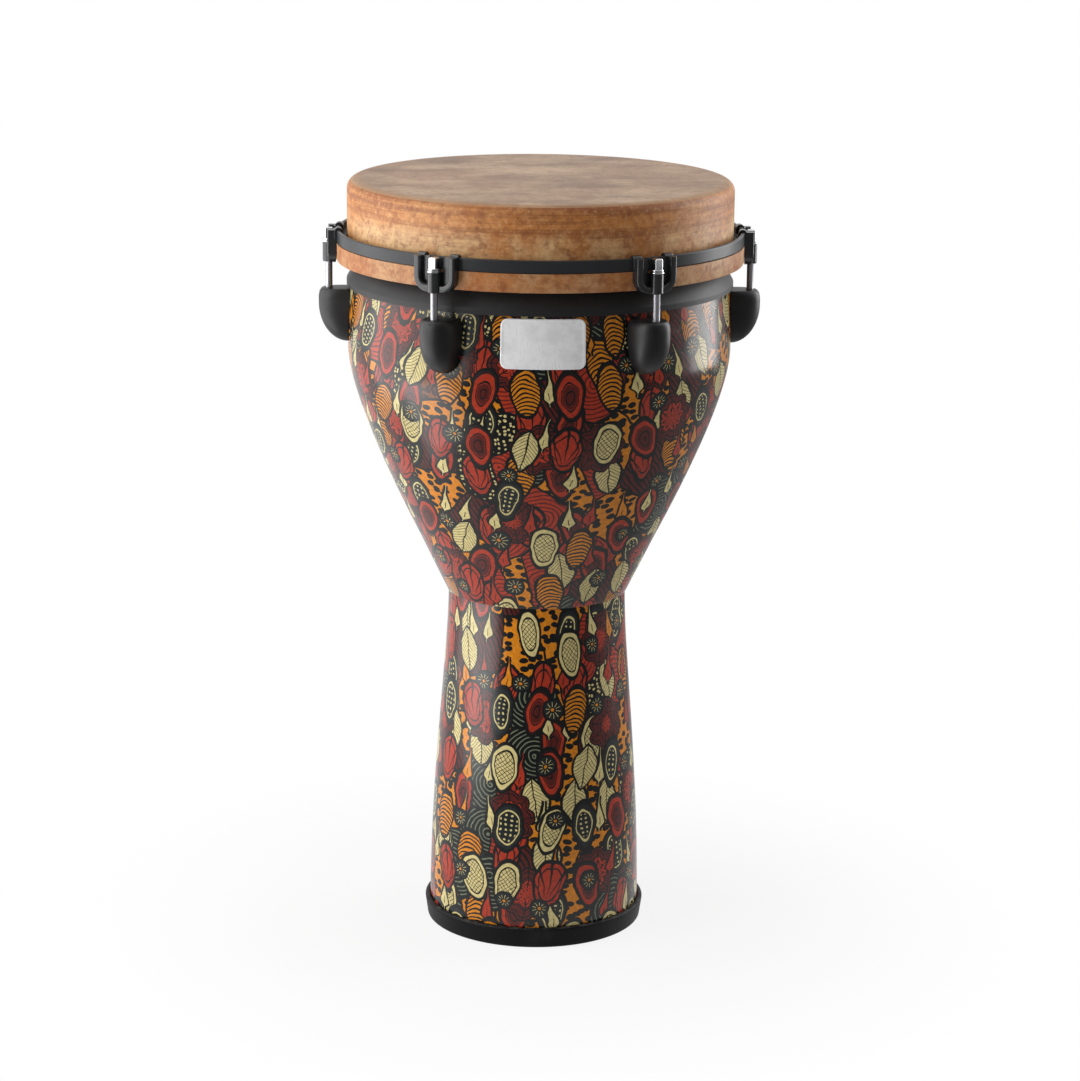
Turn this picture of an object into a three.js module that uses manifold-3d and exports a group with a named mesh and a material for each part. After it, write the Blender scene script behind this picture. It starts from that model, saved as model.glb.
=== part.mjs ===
// A key-tuned goblet hand drum, 12 in across the head and 24 in tall, in millimetres.
// +Z is up, the origin is on the floor at the drum's axis, and -Y is the front.
// Two moulded shells meet at the waist. A black ring on the bowl carries the bearing edge, and
// the drumhead is drawn over it by a counterhoop, six claws and six tension rods.

import * as THREE from 'three';
import { mergeVertices } from 'three/addons/utils/BufferGeometryUtils.js';
import Module from 'manifold-3d';

const wasm = await Module();
wasm.setup();

// Driving dimensions
const ringSides = 36; // facets round every large ring, a multiple of the number of lugs
const lugCount = 6;
const seatGap = 0.3; // between two pieces that seat on or in each other
const throughCut = 1; // how far a cut runs past the faces that it opens

// Shells
const shellWall = 5;
const stemLength = 273.9;
const stemFootRadius = 85.6;
const stemNeckRadius = 71.3;
const stemFootRise = 123; // pull of the foot's upright wall on the stem's curve
const stemNeckDrop = 54; // pull of the neck's upright wall on it
const spigotLength = 9;
const spigotWall = 3.5;
const spigotTaper = 12; // the stem's inside draws in to the spigot over this height
const bowlLength = 247.9;
const waistStep = 1; // how far the bowl's lower edge stands proud of the stem's neck
const flareHeight = 9.5;
const flareSpread = 4.9;
const coneHeight = 41.5;
const coneSpread = 15.3;
const bellyHeight = 199;
const bellySwell = 1.8; // how far the belly stands proud of the bowl's mouth
const bellyReach = 15.8; // pull of the cone on the curve into the belly
const bellyDrop = 43; // pull of the belly's upright wall on it
const mouthInset = 2.4; // how far the bowl's mouth lies inside the drumhead's collar

// Foot ring
const footSole = 4;
const footHeight = 17;
const footWall = 4;
const footLedge = 7; // width of the sole under the stem's end
const footDraft = 2.5; // how much narrower the ring is at the floor
const footRound = 1.6;
const footLipRound = 2.8;

// Bearing-edge ring
const rimHeight = 82.4;
const rimInset = 7.9; // how far the ring's wall lies inside the drumhead's collar
const rimWall = 6;
const rimLipOverhang = 2.8;
const rimLipThickness = 2.3;
const rimSlopeHeight = 19;
const rimSpigotDepth = 8;

// Drumhead
const filmThickness = 0.6;
const headRadius = 152.4;
const headCorner = 8;
const fleshHoopWidth = 7.3;
const fleshHoopHeight = 13.7;

// Counterhoop
const hoopDrop = 39.6; // its top edge lies this far below the playing surface
const hoopHeight = 9.8;
const hoopWall = 3;
const hoopFlange = 2.8;
const hoopEdgeRound = 0.6;
const collarClearance = 0.8;

// Claws
const clawWidth = 35;
const clawHeight = 27; // below the hoop's top edge
const clawCornerRadius = 11.5;
const clawPlate = 1.8;
const clawRimWidth = 5.6;
const clawRimHeight = 4.6;
const hookWidth = 7;
const hookLegLength = 4;
const sleeveLength = 15.2;
const sleeveWall = 1.9;

// Tension rods, with their washers and swivel nuts
const rodRadius = 2.75;
const keySquare = 6.35;
const keyHeight = 8.2;
const keyChamfer = 1;
const rodFlangeRadius = 5;
const rodFlangeThickness = 1.6;
const rodEndBelowNut = 3;
const rodEndClearance = 1.5;
const washerRadius = 5.5;
const washerThickness = 1.2;
const nutLength = 15;
const nutWall = 1.55;
const nutCollarRim = 0.8;
const nutCollarHeight = 3;

// Lug casings and their screws
const casingDrop = 3.9; // casing top below the bowl's mouth
const casingHeight = 42.8;
const casingWidth = 30;
const casingShoulder = 11.5; // depth of the widest point below the casing's top
const casingWall = 2.6;
const casingTopInset = 3.6; // the top face is this much smaller than the body, all round
const casingTopRound = 8; // height of the rounding between top and body
const casingSquareness = 2.5; // exponent of the casing's cross-section, 2 for an ellipse
const rodHoleClearance = 0.9;
const screwRadius = 2.4;
const screwTipClearance = 1.3; // between a screw's tip and the swivel nut's space
const screwHeadRadius = 5.5;
const screwHeadHeight = 2.6;
const screwHeadClearance = 1.2; // between the upper screw's head and the ring's spigot
const screwSpacing = 22;
const bossWall = 2;

// Heights, from the floor up
const stemFootZ = footSole + seatGap;
const shoulderZ = stemFootZ + stemLength;
const bowlBaseZ = shoulderZ + seatGap;
const bowlTopZ = bowlBaseZ + bowlLength;
const rimLipZ = bowlTopZ + seatGap;
const crownZ = rimLipZ + rimHeight;
const headTopZ = crownZ + seatGap + filmThickness;
const hoopTopZ = headTopZ - hoopDrop;
const hoopBottomZ = hoopTopZ - hoopHeight;
const fleshTopZ = hoopBottomZ - seatGap;
const fleshBottomZ = fleshTopZ - fleshHoopHeight;

// Radii of the shells and the bearing-edge ring
const bowlWaistRadius = stemNeckRadius + waistStep;
const flareRadius = bowlWaistRadius + flareSpread;
const coneRadius = flareRadius + coneSpread;
const bowlMouthRadius = headRadius - mouthInset;
const bellyRadius = bowlMouthRadius + bellySwell;
const rimRadius = headRadius - rimInset;

// Radii of the ring stack, from the drumhead's collar out to the rods
const fleshInnerRadius = headRadius + seatGap;
const fleshOuterRadius = fleshInnerRadius + fleshHoopWidth;
const hoopRadius = fleshOuterRadius + seatGap + filmThickness;
const rodTopRadius = Math.max(washerRadius, rodFlangeRadius, keySquare * Math.SQRT1_2);
const rodCircleRadius = hoopRadius + seatGap + rodTopRadius;
const nutRadius = rodRadius + seatGap + nutWall;
const nutCollarRadius = nutRadius + nutCollarRim;

// Turns a three.js geometry into a solid that can be cut and joined.
function solid(geometry) {
  const bare = geometry.index ? geometry.toNonIndexed() : geometry.clone();
  for (const name of Object.keys(bare.attributes)) {
    if (name !== 'position') bare.deleteAttribute(name);
  }
  const merged = mergeVertices(bare, 1e-4);
  return new wasm.Manifold(new wasm.Mesh({
    numProp: 3,
    vertProperties: merged.attributes.position.array,
    triVerts: new Uint32Array(merged.index.array),
  }));
}

// Gives a solid back as a three.js geometry.
function geometryOf(body) {
  const mesh = body.getMesh();
  const geometry = new THREE.BufferGeometry();
  geometry.setAttribute('position', new THREE.BufferAttribute(mesh.vertProperties, 3));
  geometry.setIndex(new THREE.BufferAttribute(mesh.triVerts, 1));
  geometry.computeVertexNormals();
  return geometry;
}

// Revolves a closed outline of [radius, height] points, drawn anticlockwise, about +Z.
// The facets are turned by half a step, so that +X and each lug station face the middle of one.
function revolve(outline, sides = ringSides) {
  const points = outline.map(([r, z]) => new THREE.Vector2(r, z));
  points.push(points[0].clone());
  const geometry = new THREE.LatheGeometry(points, sides, Math.PI / sides);
  geometry.rotateX(Math.PI / 2);
  return solid(geometry);
}

// A round bar along +Z, from one height to another.
function bar(radius, fromZ, toZ, sides = 8) {
  const geometry = new THREE.CylinderGeometry(radius, radius, toZ - fromZ, sides, 1, false, Math.PI / sides);
  geometry.rotateX(Math.PI / 2);
  geometry.translate(0, 0, (fromZ + toZ) / 2);
  return solid(geometry);
}

// A round bar along +X at one height, from one radius of the drum to another.
function radialBar(radius, z, fromX, toX, sides = 8) {
  return bar(radius, fromX, toX, sides).rotate([0, 90, 0]).translate([0, 0, z]);
}

function block(fromX, toX, width, fromZ, toZ) {
  const geometry = new THREE.BoxGeometry(toX - fromX, width, toZ - fromZ);
  geometry.translate((fromX + toX) / 2, 0, (fromZ + toZ) / 2);
  return solid(geometry);
}

// Extrudes a shape drawn in (y, z), seen from outside the drum, along +X.
function radialExtrusion(shape, fromX, toX, curveSegments = 4) {
  const options = { depth: toX - fromX, bevelEnabled: false, curveSegments };
  const geometry = new THREE.ExtrudeGeometry(shape, options);
  geometry.rotateX(Math.PI / 2);
  geometry.rotateZ(Math.PI / 2);
  geometry.translate(fromX, 0, 0);
  return solid(geometry);
}

// Points of a curve as [radius, height] pairs.
function sample(curve, count) {
  return curve.getPoints(count).map((p) => [p.x, p.y]);
}

// A quarter or half round in an outline, from one angle to another in degrees.
function round(centreR, centreZ, radius, fromDegrees, toDegrees, steps) {
  const points = [];
  for (let i = 0; i <= steps; i++) {
    const angle = THREE.MathUtils.degToRad(fromDegrees + ((toDegrees - fromDegrees) * i) / steps);
    points.push([centreR + radius * Math.cos(angle), centreZ + radius * Math.sin(angle)]);
  }
  return points;
}

// The profile moved sideways: towards the axis for a positive distance, away for a negative one.
function offsetProfile(profile, distance) {
  return profile.map(([r, z], i) => {
    const [r0, z0] = profile[Math.max(i - 1, 0)];
    const [r1, z1] = profile[Math.min(i + 1, profile.length - 1)];
    const length = Math.hypot(r1 - r0, z1 - z0);
    return [r - (distance * (z1 - z0)) / length, z + (distance * (r1 - r0)) / length];
  });
}

// Radius of a rising profile at a height.
function radiusAt(profile, z) {
  const i = profile.findIndex(([, height]) => height >= z);
  if (i < 0) return profile[profile.length - 1][0];
  if (i === 0) return profile[0][0];
  const [r0, z0] = profile[i - 1];
  const [r1, z1] = profile[i];
  return r0 + ((r1 - r0) * (z - z0)) / (z1 - z0);
}

// Drops every second point of a profile beyond its second, for a lining that nobody sees.
function thinOut(profile) {
  return profile.filter((_, i) => i < 2 || i % 2 === 0);
}

// Keeps the part of a profile between two heights, with its ends cut level.
// Points closer than the margin to an end are dropped, so that no sliver is left there.
function clipProfile(profile, fromZ, toZ, margin = 0.5) {
  const inside = profile.filter(([, z]) => z > fromZ + margin && z < toZ - margin);
  return [[radiusAt(profile, fromZ), fromZ], ...inside, [radiusAt(profile, toZ), toZ]];
}

// Outer profiles of the two shells, rising
const vector = (r, z) => new THREE.Vector2(r, z);
const stemProfile = sample(new THREE.CubicBezierCurve(
  vector(stemFootRadius, stemFootZ),
  vector(stemFootRadius, stemFootZ + stemFootRise),
  vector(stemNeckRadius, shoulderZ - stemNeckDrop),
  vector(stemNeckRadius, shoulderZ),
), 5);

const coneAngle = Math.atan2(coneRadius - flareRadius, coneHeight - flareHeight);
const conePull = [bellyReach * Math.sin(coneAngle), bellyReach * Math.cos(coneAngle)];
const bowlProfile = [
  [bowlWaistRadius, bowlBaseZ],
  [flareRadius, bowlBaseZ + flareHeight],
  ...sample(new THREE.CubicBezierCurve(
    vector(coneRadius, bowlBaseZ + coneHeight),
    vector(coneRadius + conePull[0], bowlBaseZ + coneHeight + conePull[1]),
    vector(bellyRadius, bowlBaseZ + bellyHeight - bellyDrop),
    vector(bellyRadius, bowlBaseZ + bellyHeight),
  ), 7),
  [bowlMouthRadius, bowlTopZ],
];
const bowlInside = clipProfile(thinOut(offsetProfile(bowlProfile, shellWall)), bowlBaseZ, bowlTopZ);

// Narrowest inside radius of the bowl over the depth of a spigot at its mouth or neck
const mouthBore = Math.min(radiusAt(bowlInside, bowlTopZ), radiusAt(bowlInside, bowlTopZ - rimSpigotDepth));
const neckBore = radiusAt(bowlInside, bowlBaseZ);

function stemShell() {
  const spigotRadius = neckBore - seatGap;
  const throat = spigotRadius - spigotWall;
  const inside = thinOut(offsetProfile(stemProfile, shellWall));
  const lining = clipProfile(inside, stemFootZ, shoulderZ - spigotTaper);
  return revolve([
    ...stemProfile,
    [spigotRadius, shoulderZ],
    [spigotRadius, shoulderZ + spigotLength],
    [throat, shoulderZ + spigotLength],
    [throat, shoulderZ - spigotTaper / 2],
    ...lining.reverse(),
  ]);
}

function bowlShell(screwHeights) {
  let bowl = revolve([...bowlProfile, ...bowlInside.slice().reverse()]);
  for (let lug = 0; lug < lugCount; lug++) {
    for (const z of screwHeights) {
      const hole = radialBar(screwRadius + seatGap, z, neckBore, bellyRadius + shellWall);
      bowl = bowl.subtract(hole.rotate([0, 0, (360 * lug) / lugCount]));
    }
  }
  return bowl;
}

// Soft ring round the stem's lower end, with a lip that bulges over a drafted wall.
function footRing() {
  const socket = stemFootRadius + seatGap;
  const lip = socket + footWall;
  const floorRadius = lip - footDraft;
  const lipRound = Math.min(footLipRound, footWall);
  return revolve([
    [stemFootRadius - footLedge, 0],
    [floorRadius - footRound, 0],
    [floorRadius, footRound],
    ...round(lip - lipRound, footHeight - lipRound, lipRound, 0, 90, 2),
    [socket, footHeight],
    [socket, footSole],
    [stemFootRadius - footLedge, footSole],
  ]);
}

// Ring that seats in the bowl's mouth: spigot, overhanging lip, slope, wall and rounded crown.
function bearingEdgeRing() {
  const spigotRadius = mouthBore - seatGap;
  const lipRadius = bowlMouthRadius + rimLipOverhang;
  const inner = Math.min(rimRadius, spigotRadius) - rimWall;
  const crownRadius = (rimRadius - inner) / 2;
  return revolve([
    [inner, rimLipZ - rimSpigotDepth],
    [spigotRadius, rimLipZ - rimSpigotDepth],
    [spigotRadius, rimLipZ],
    [lipRadius, rimLipZ],
    [lipRadius, rimLipZ + rimLipThickness],
    [rimRadius, rimLipZ + rimSlopeHeight],
    ...round(rimRadius - crownRadius, crownZ - crownRadius, crownRadius, 0, 180, 4),
  ]);
}

// Film: flat playing surface, rounded corner, upright collar, and a tail lapped round the hoop.
function headFilm() {
  const inside = headRadius - filmThickness;
  const channelFloor = fleshBottomZ - seatGap;
  const channelWall = fleshOuterRadius + seatGap;
  const cornerR = headRadius - headCorner;
  const cornerZ = headTopZ - headCorner;
  return revolve([
    [0, headTopZ - filmThickness],
    ...round(cornerR, cornerZ, headCorner - filmThickness, 90, 0, 3),
    [inside, channelFloor - filmThickness],
    [hoopRadius, channelFloor - filmThickness],
    [hoopRadius, fleshTopZ],
    [channelWall, fleshTopZ],
    [channelWall, channelFloor],
    [headRadius, channelFloor],
    ...round(cornerR, cornerZ, headCorner, 0, 90, 3),
    [0, headTopZ],
  ]);
}

function fleshHoop() {
  return revolve([
    [fleshInnerRadius, fleshBottomZ],
    [fleshOuterRadius, fleshBottomZ],
    [fleshOuterRadius, fleshTopZ],
    [fleshInnerRadius, fleshTopZ],
  ]);
}

// L-shaped section: a flange bears on the flesh hoop, and the outer wall carries the claws.
// A positive growth gives the space that the claws must leave round it.
function counterhoopOutline(growth = 0) {
  const innerRadius = headRadius + collarClearance - growth;
  const outer = hoopRadius + growth;
  const wallInside = hoopRadius - hoopWall - growth;
  const top = hoopTopZ + growth;
  return [
    [innerRadius, hoopBottomZ - growth],
    [outer - hoopEdgeRound, hoopBottomZ - growth],
    [outer, hoopBottomZ - growth + hoopEdgeRound],
    [outer, top - hoopEdgeRound],
    [outer - hoopEdgeRound, top],
    [wallInside, top],
    [wallInside, hoopBottomZ + hoopFlange + growth],
    [innerRadius, hoopBottomZ + hoopFlange + growth],
  ];
}

// Shield outline of a claw in (y, z): straight sides and a rounded foot.
function shieldShape(halfWidth, bottom, top, corner) {
  const radius = Math.min(corner, halfWidth);
  const shape = new THREE.Shape();
  shape.moveTo(halfWidth, top);
  shape.lineTo(-halfWidth, top);
  shape.lineTo(-halfWidth, bottom + radius);
  shape.absarc(-halfWidth + radius, bottom + radius, radius, Math.PI, 1.5 * Math.PI, false);
  shape.lineTo(halfWidth - radius, bottom);
  shape.absarc(halfWidth - radius, bottom + radius, radius, 1.5 * Math.PI, 2 * Math.PI, false);
  shape.closePath();
  return shape;
}

// One hook over the hoop's outer wall, as an arch in (x, z) with a leg down the inside.
// It is the claw's plate bent over, and the top of its inside just clears the hoop.
function clawHook(side) {
  const middle = hoopRadius - hoopWall / 2;
  const inner = hoopWall / 2 + seatGap;
  const outer = inner + clawPlate;
  const springZ = hoopTopZ + seatGap - inner;
  const arch = new THREE.Shape();
  arch.moveTo(middle + inner, springZ - hookLegLength);
  arch.lineTo(middle + outer, springZ - hookLegLength);
  arch.absarc(middle, springZ, outer, 0, Math.PI, false);
  arch.lineTo(middle - outer, springZ - hookLegLength);
  arch.lineTo(middle - inner, springZ - hookLegLength);
  arch.absarc(middle, springZ, inner, Math.PI, 0, true);
  arch.closePath();
  const options = { depth: hookWidth, bevelEnabled: false, curveSegments: 3 };
  const geometry = new THREE.ExtrudeGeometry(arch, options);
  geometry.translate(0, 0, -hookWidth / 2);
  geometry.rotateX(Math.PI / 2);
  const turn = Math.asin((clawWidth / 2 - hookWidth / 2) / hoopRadius);
  return solid(geometry).rotate([0, 0, side * THREE.MathUtils.radToDeg(turn)]);
}

// Claw: a shield with a raised rim, two hooks and a sleeve for the tension rod.
function claw(sleeve) {
  const bottom = hoopTopZ - clawHeight;
  const back = hoopRadius - clawPlate;
  const face = hoopRadius + seatGap + clawPlate;
  const rimFace = face + clawRimHeight;
  const half = clawWidth / 2;
  const shield = radialExtrusion(shieldShape(half, bottom, hoopTopZ, clawCornerRadius), back, rimFace);
  const pocketHalf = half - clawRimWidth;
  const pocketCorner = Math.max(clawCornerRadius - clawRimWidth, 1);
  const pocketShape = shieldShape(pocketHalf, bottom + clawRimWidth, hoopTopZ + throughCut, pocketCorner);
  const pocket = radialExtrusion(pocketShape, face, rimFace + throughCut, 3);
  const notchWidth = 2 * (rodCircleRadius - hoopRadius);
  const notch = block(back - throughCut, rimFace + throughCut, notchWidth, sleeve.top, hoopTopZ + throughCut);
  const tube = bar(sleeve.radius, sleeve.bottom, sleeve.top, 10).translate([rodCircleRadius, 0, 0]);
  const bore = bar(sleeve.bore, sleeve.bottom - throughCut, sleeve.top + throughCut)
    .translate([rodCircleRadius, 0, 0]);
  const lappedFilm = revolve([
    [headRadius, fleshBottomZ - clawHeight],
    [hoopRadius + seatGap, fleshBottomZ - clawHeight],
    [hoopRadius + seatGap, hoopBottomZ],
    [headRadius, hoopBottomZ],
  ]);
  return shield
    .subtract(pocket)
    .subtract(notch)
    .add(clawHook(1))
    .add(clawHook(-1))
    .add(tube)
    .subtract(bore)
    .subtract(revolve(counterhoopOutline(seatGap)))
    .subtract(lappedFilm);
}

// Places of what hangs on one rod, from the claw's sleeve down to the swivel nut
const sleeve = {
  bore: rodRadius + seatGap,
  radius: rodRadius + seatGap + sleeveWall,
  bottom: hoopTopZ - clawHeight,
  top: hoopTopZ - clawHeight + sleeveLength,
};
const washerZ = sleeve.top + seatGap;
const rodFlangeZ = washerZ + washerThickness + seatGap;
const casingTopZ = bowlTopZ - casingDrop;
const nutTopZ = casingTopZ - casingWall - seatGap;
const rodEndZ = nutTopZ - nutLength - rodEndBelowNut;

function tensionRod() {
  const shank = bar(rodRadius, rodEndZ, rodFlangeZ + rodFlangeThickness / 2);
  const flange = bar(rodFlangeRadius, rodFlangeZ, rodFlangeZ + rodFlangeThickness, 12);
  const half = keySquare / 2;
  const corners = [vector(-half, -half), vector(half, -half), vector(half, half), vector(-half, half)];
  const shape = new THREE.Shape(corners);
  const keyBase = rodFlangeZ + rodFlangeThickness;
  const geometry = new THREE.ExtrudeGeometry(shape, {
    depth: keyHeight - keyChamfer + rodFlangeThickness / 2,
    bevelThickness: keyChamfer,
    bevelSize: keyChamfer,
    bevelOffset: -keyChamfer,
    bevelSegments: 1,
  });
  geometry.translate(0, 0, keyBase - rodFlangeThickness / 2);
  return shank.add(flange).add(solid(geometry).subtract(bar(keySquare, rodFlangeZ - keyHeight, rodFlangeZ)));
}

function washer() {
  const hole = rodRadius + seatGap;
  return revolve([
    [hole, washerZ],
    [washerRadius, washerZ],
    [washerRadius, washerZ + washerThickness],
    [hole, washerZ + washerThickness],
  ], 10);
}

function swivelNut() {
  const bore = rodRadius + seatGap;
  return revolve([
    [bore, nutTopZ - nutLength],
    [nutRadius, nutTopZ - nutLength],
    [nutRadius, nutTopZ - nutCollarHeight],
    [nutCollarRadius, nutTopZ - nutCollarHeight],
    [nutCollarRadius, nutTopZ],
    [bore, nutTopZ],
  ], 8);
}

// Screws come from inside the bowl, the upper one just below the ring's spigot.
const upperScrewZ = rimLipZ - rimSpigotDepth - screwHeadClearance - screwHeadRadius;
const screwHeights = [upperScrewZ, upperScrewZ - screwSpacing];
const facetReach = Math.cos(Math.PI / ringSides); // a facet's middle lies this share of the radius out
const screwSeatRadius = (z) => Math.min(
  radiusAt(bowlInside, z - screwHeadRadius),
  radiusAt(bowlInside, z + screwHeadRadius),
) * facetReach - seatGap;
const nutSpaceRadius = nutCollarRadius + seatGap;
const screwTipRadius = rodCircleRadius - nutSpaceRadius - screwTipClearance;
const screwLength = screwTipRadius - Math.max(...screwHeights.map(screwSeatRadius));

// A screw lies along its own axis here, with the seat of its domed head at the origin.
function lugScrew() {
  const rise = Math.min(screwHeadHeight, screwHeadRadius);
  const domeRadius = (screwHeadRadius ** 2 + rise ** 2) / (2 * rise);
  const domeDegrees = THREE.MathUtils.radToDeg(Math.asin(screwHeadRadius / domeRadius));
  return revolve([
    [0, -rise],
    ...round(0, domeRadius - rise, domeRadius, -90, domeDegrees - 90, 2).slice(1),
    [screwRadius, 0],
    [screwRadius, screwLength],
    [0, screwLength],
  ], 8);
}

// Casing form: level superellipse sections that shrink to a rounded foot.
// A positive inset gives the hollow inside a wall of that thickness.
function casingForm(inset, levels, sides, roundLevels = 2) {
  const backX = bowlMouthRadius - shellWall;
  const reach = rodCircleRadius + nutCollarRadius + seatGap + casingWall - inset;
  const halfWidth = casingWidth / 2 - inset;
  const top = casingTopZ - inset;
  const shoulder = casingTopZ - casingShoulder;
  const foot = casingTopZ - casingHeight + inset;
  const roundHeight = Math.min(casingTopRound, casingShoulder);
  const tipShare = 0.999; // the last section stays just short of a point
  const heights = [];
  for (let i = 0; i <= roundLevels; i++) {
    heights.push(top - roundHeight * (1 - Math.cos((Math.PI / 2) * (i / roundLevels))));
  }
  for (let i = 1; i <= levels; i++) {
    heights.push(shoulder - (shoulder - foot) * Math.sin((Math.PI / 2) * (i / levels)) * tipShare);
  }
  const rings = heights.map((z) => {
    const down = Math.max(0, (shoulder - z) / (shoulder - foot));
    const shrink = Math.sqrt(Math.max(0, 1 - down * down));
    const up = Math.max(0, 1 - (top - z) / roundHeight);
    const draw = casingTopInset * (1 - Math.sqrt(1 - up * up));
    const depth = (reach - bellyRadius) * shrink - draw;
    const width = halfWidth * (1 - Math.pow(down, casingSquareness)) ** (1 / casingSquareness) - draw;
    const ring = [[backX, -width, z]];
    for (let i = 0; i <= sides; i++) {
      const angle = -Math.PI / 2 + (Math.PI * i) / sides;
      const c = Math.abs(Math.cos(angle)) ** (2 / casingSquareness);
      const s = Math.sign(Math.sin(angle)) * Math.abs(Math.sin(angle)) ** (2 / casingSquareness);
      ring.push([bellyRadius + depth * c, width * s, z]);
    }
    ring.push([backX, width, z]);
    return ring;
  });
  return loft(rings);
}

// Joins rings of equally many points, given from the top down, and caps both ends.
function loft(rings) {
  const size = rings[0].length;
  const index = [];
  for (let level = 0; level + 1 < rings.length; level++) {
    for (let i = 0; i < size; i++) {
      const a = level * size + i;
      const b = level * size + ((i + 1) % size);
      index.push(a, a + size, b, b, a + size, b + size);
    }
  }
  const last = (rings.length - 1) * size;
  for (let i = 1; i + 1 < size; i++) {
    index.push(0, i, i + 1);
    index.push(last, last + i + 1, last + i);
  }
  const geometry = new THREE.BufferGeometry();
  geometry.setAttribute('position', new THREE.Float32BufferAttribute(rings.flat(2), 3));
  geometry.setIndex(index);
  return solid(geometry);
}

// Casing: hollow behind, with a barrel for the swivel nut and two bosses for the screws.
function lugCasing() {
  const outside = casingForm(0, 4, 8);
  const hollow = casingForm(casingWall, 2, 4);
  const onRod = (body) => body.translate([rodCircleRadius, 0, 0]);
  const barrelFoot = nutTopZ - nutLength;
  const barrel = onRod(bar(nutSpaceRadius + bossWall, barrelFoot, casingTopZ - casingWall / 2));
  const nutSpace = onRod(bar(nutSpaceRadius, rodEndZ - rodEndClearance, nutTopZ + seatGap));
  const rodHole = onRod(bar(rodRadius + rodHoleClearance, nutTopZ - seatGap, casingTopZ + throughCut));
  let casing = outside.subtract(hollow).add(barrel.intersect(outside));
  for (const z of screwHeights) {
    const boss = radialBar(screwRadius + seatGap + bossWall, z, neckBore, rodCircleRadius + casingWidth);
    const hole = radialBar(screwRadius + seatGap, z, neckBore - throughCut, screwTipRadius + seatGap);
    casing = casing.add(boss.intersect(outside)).subtract(hole);
  }
  const bowlSpace = revolve([
    [0, bowlBaseZ - shellWall],
    ...offsetProfile(bowlProfile, -seatGap),
    [bowlMouthRadius + seatGap, bowlTopZ + shellWall],
    [0, bowlTopZ + shellWall],
  ]);
  return casing.subtract(nutSpace).subtract(rodHole).subtract(bowlSpace);
}

// Materials
function finish(name, color, roughness, metalness) {
  return new THREE.MeshStandardMaterial({ name, color, roughness, metalness });
}
const printedShell = finish('printed_shell', 0x6b3222, 0.35, 0);
const blackRubber = finish('black_rubber', 0x17171a, 0.7, 0);
const blackMoulding = finish('black_moulding', 0x232326, 0.5, 0);
const brownFilm = finish('brown_film', 0xa97a52, 0.65, 0);
const hoopFibre = finish('hoop_fibre', 0x8a6844, 0.8, 0);
const blackSteel = finish('black_steel', 0x1c1d1f, 0.4, 0.6);
const chromeSteel = finish('chrome_steel', 0xd8d9dc, 0.15, 1);
const nutBrass = finish('nut_brass', 0xb08d4a, 0.35, 1);
const zincScrew = finish('zinc_screw', 0x8f9094, 0.35, 1);

const drum = new THREE.Group();

function addPiece(parent, name, geometry, material) {
  const mesh = new THREE.Mesh(geometry, material);
  mesh.name = name;
  parent.add(mesh);
  return mesh;
}

addPiece(drum, 'foot_ring', geometryOf(footRing()), blackRubber);
addPiece(drum, 'stem_shell', geometryOf(stemShell()), printedShell);
addPiece(drum, 'bowl_shell', geometryOf(bowlShell(screwHeights)), printedShell);
addPiece(drum, 'bearing_edge_ring', geometryOf(bearingEdgeRing()), blackMoulding);
addPiece(drum, 'head_film', geometryOf(headFilm()), brownFilm);
addPiece(drum, 'flesh_hoop', geometryOf(fleshHoop()), hoopFibre);
addPiece(drum, 'counterhoop', geometryOf(revolve(counterhoopOutline())), blackSteel);

// Each lug station is a group turned about the drum's axis; station 1 is on +X.
const clawGeometry = geometryOf(claw(sleeve));
const rodGeometry = geometryOf(tensionRod());
const washerGeometry = geometryOf(washer());
const nutGeometry = geometryOf(swivelNut());
const casingGeometry = geometryOf(lugCasing());
const screwGeometry = geometryOf(lugScrew());
for (let lug = 0; lug < lugCount; lug++) {
  const station = new THREE.Group();
  station.rotation.z = (2 * Math.PI * lug) / lugCount;
  drum.add(station);
  const number = lug + 1;
  addPiece(station, `claw_${number}`, clawGeometry, blackSteel);
  addPiece(station, `lug_casing_${number}`, casingGeometry, blackMoulding);
  addPiece(station, `tension_rod_${number}`, rodGeometry, chromeSteel).position.x = rodCircleRadius;
  addPiece(station, `rod_washer_${number}`, washerGeometry, chromeSteel).position.x = rodCircleRadius;
  addPiece(station, `swivel_nut_${number}`, nutGeometry, nutBrass).position.x = rodCircleRadius;
  screwHeights.forEach((z, i) => {
    const screw = addPiece(station, `lug_screw_${number}_${i ? 'lower' : 'upper'}`, screwGeometry, zincScrew);
    screw.rotation.y = Math.PI / 2;
    screw.position.set(screwSeatRadius(z), 0, z);
  });
}

export default drum;
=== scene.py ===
# Looks of a key-tuned goblet hand drum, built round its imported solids.
# Outlines are closed rows of (radius, height) in millimetres; objects are in metres.
# +Z is up, -Y is the front, and lug station 1 lies on +X.

import math

import bmesh
import bpy
from mathutils import Matrix, Vector


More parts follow.
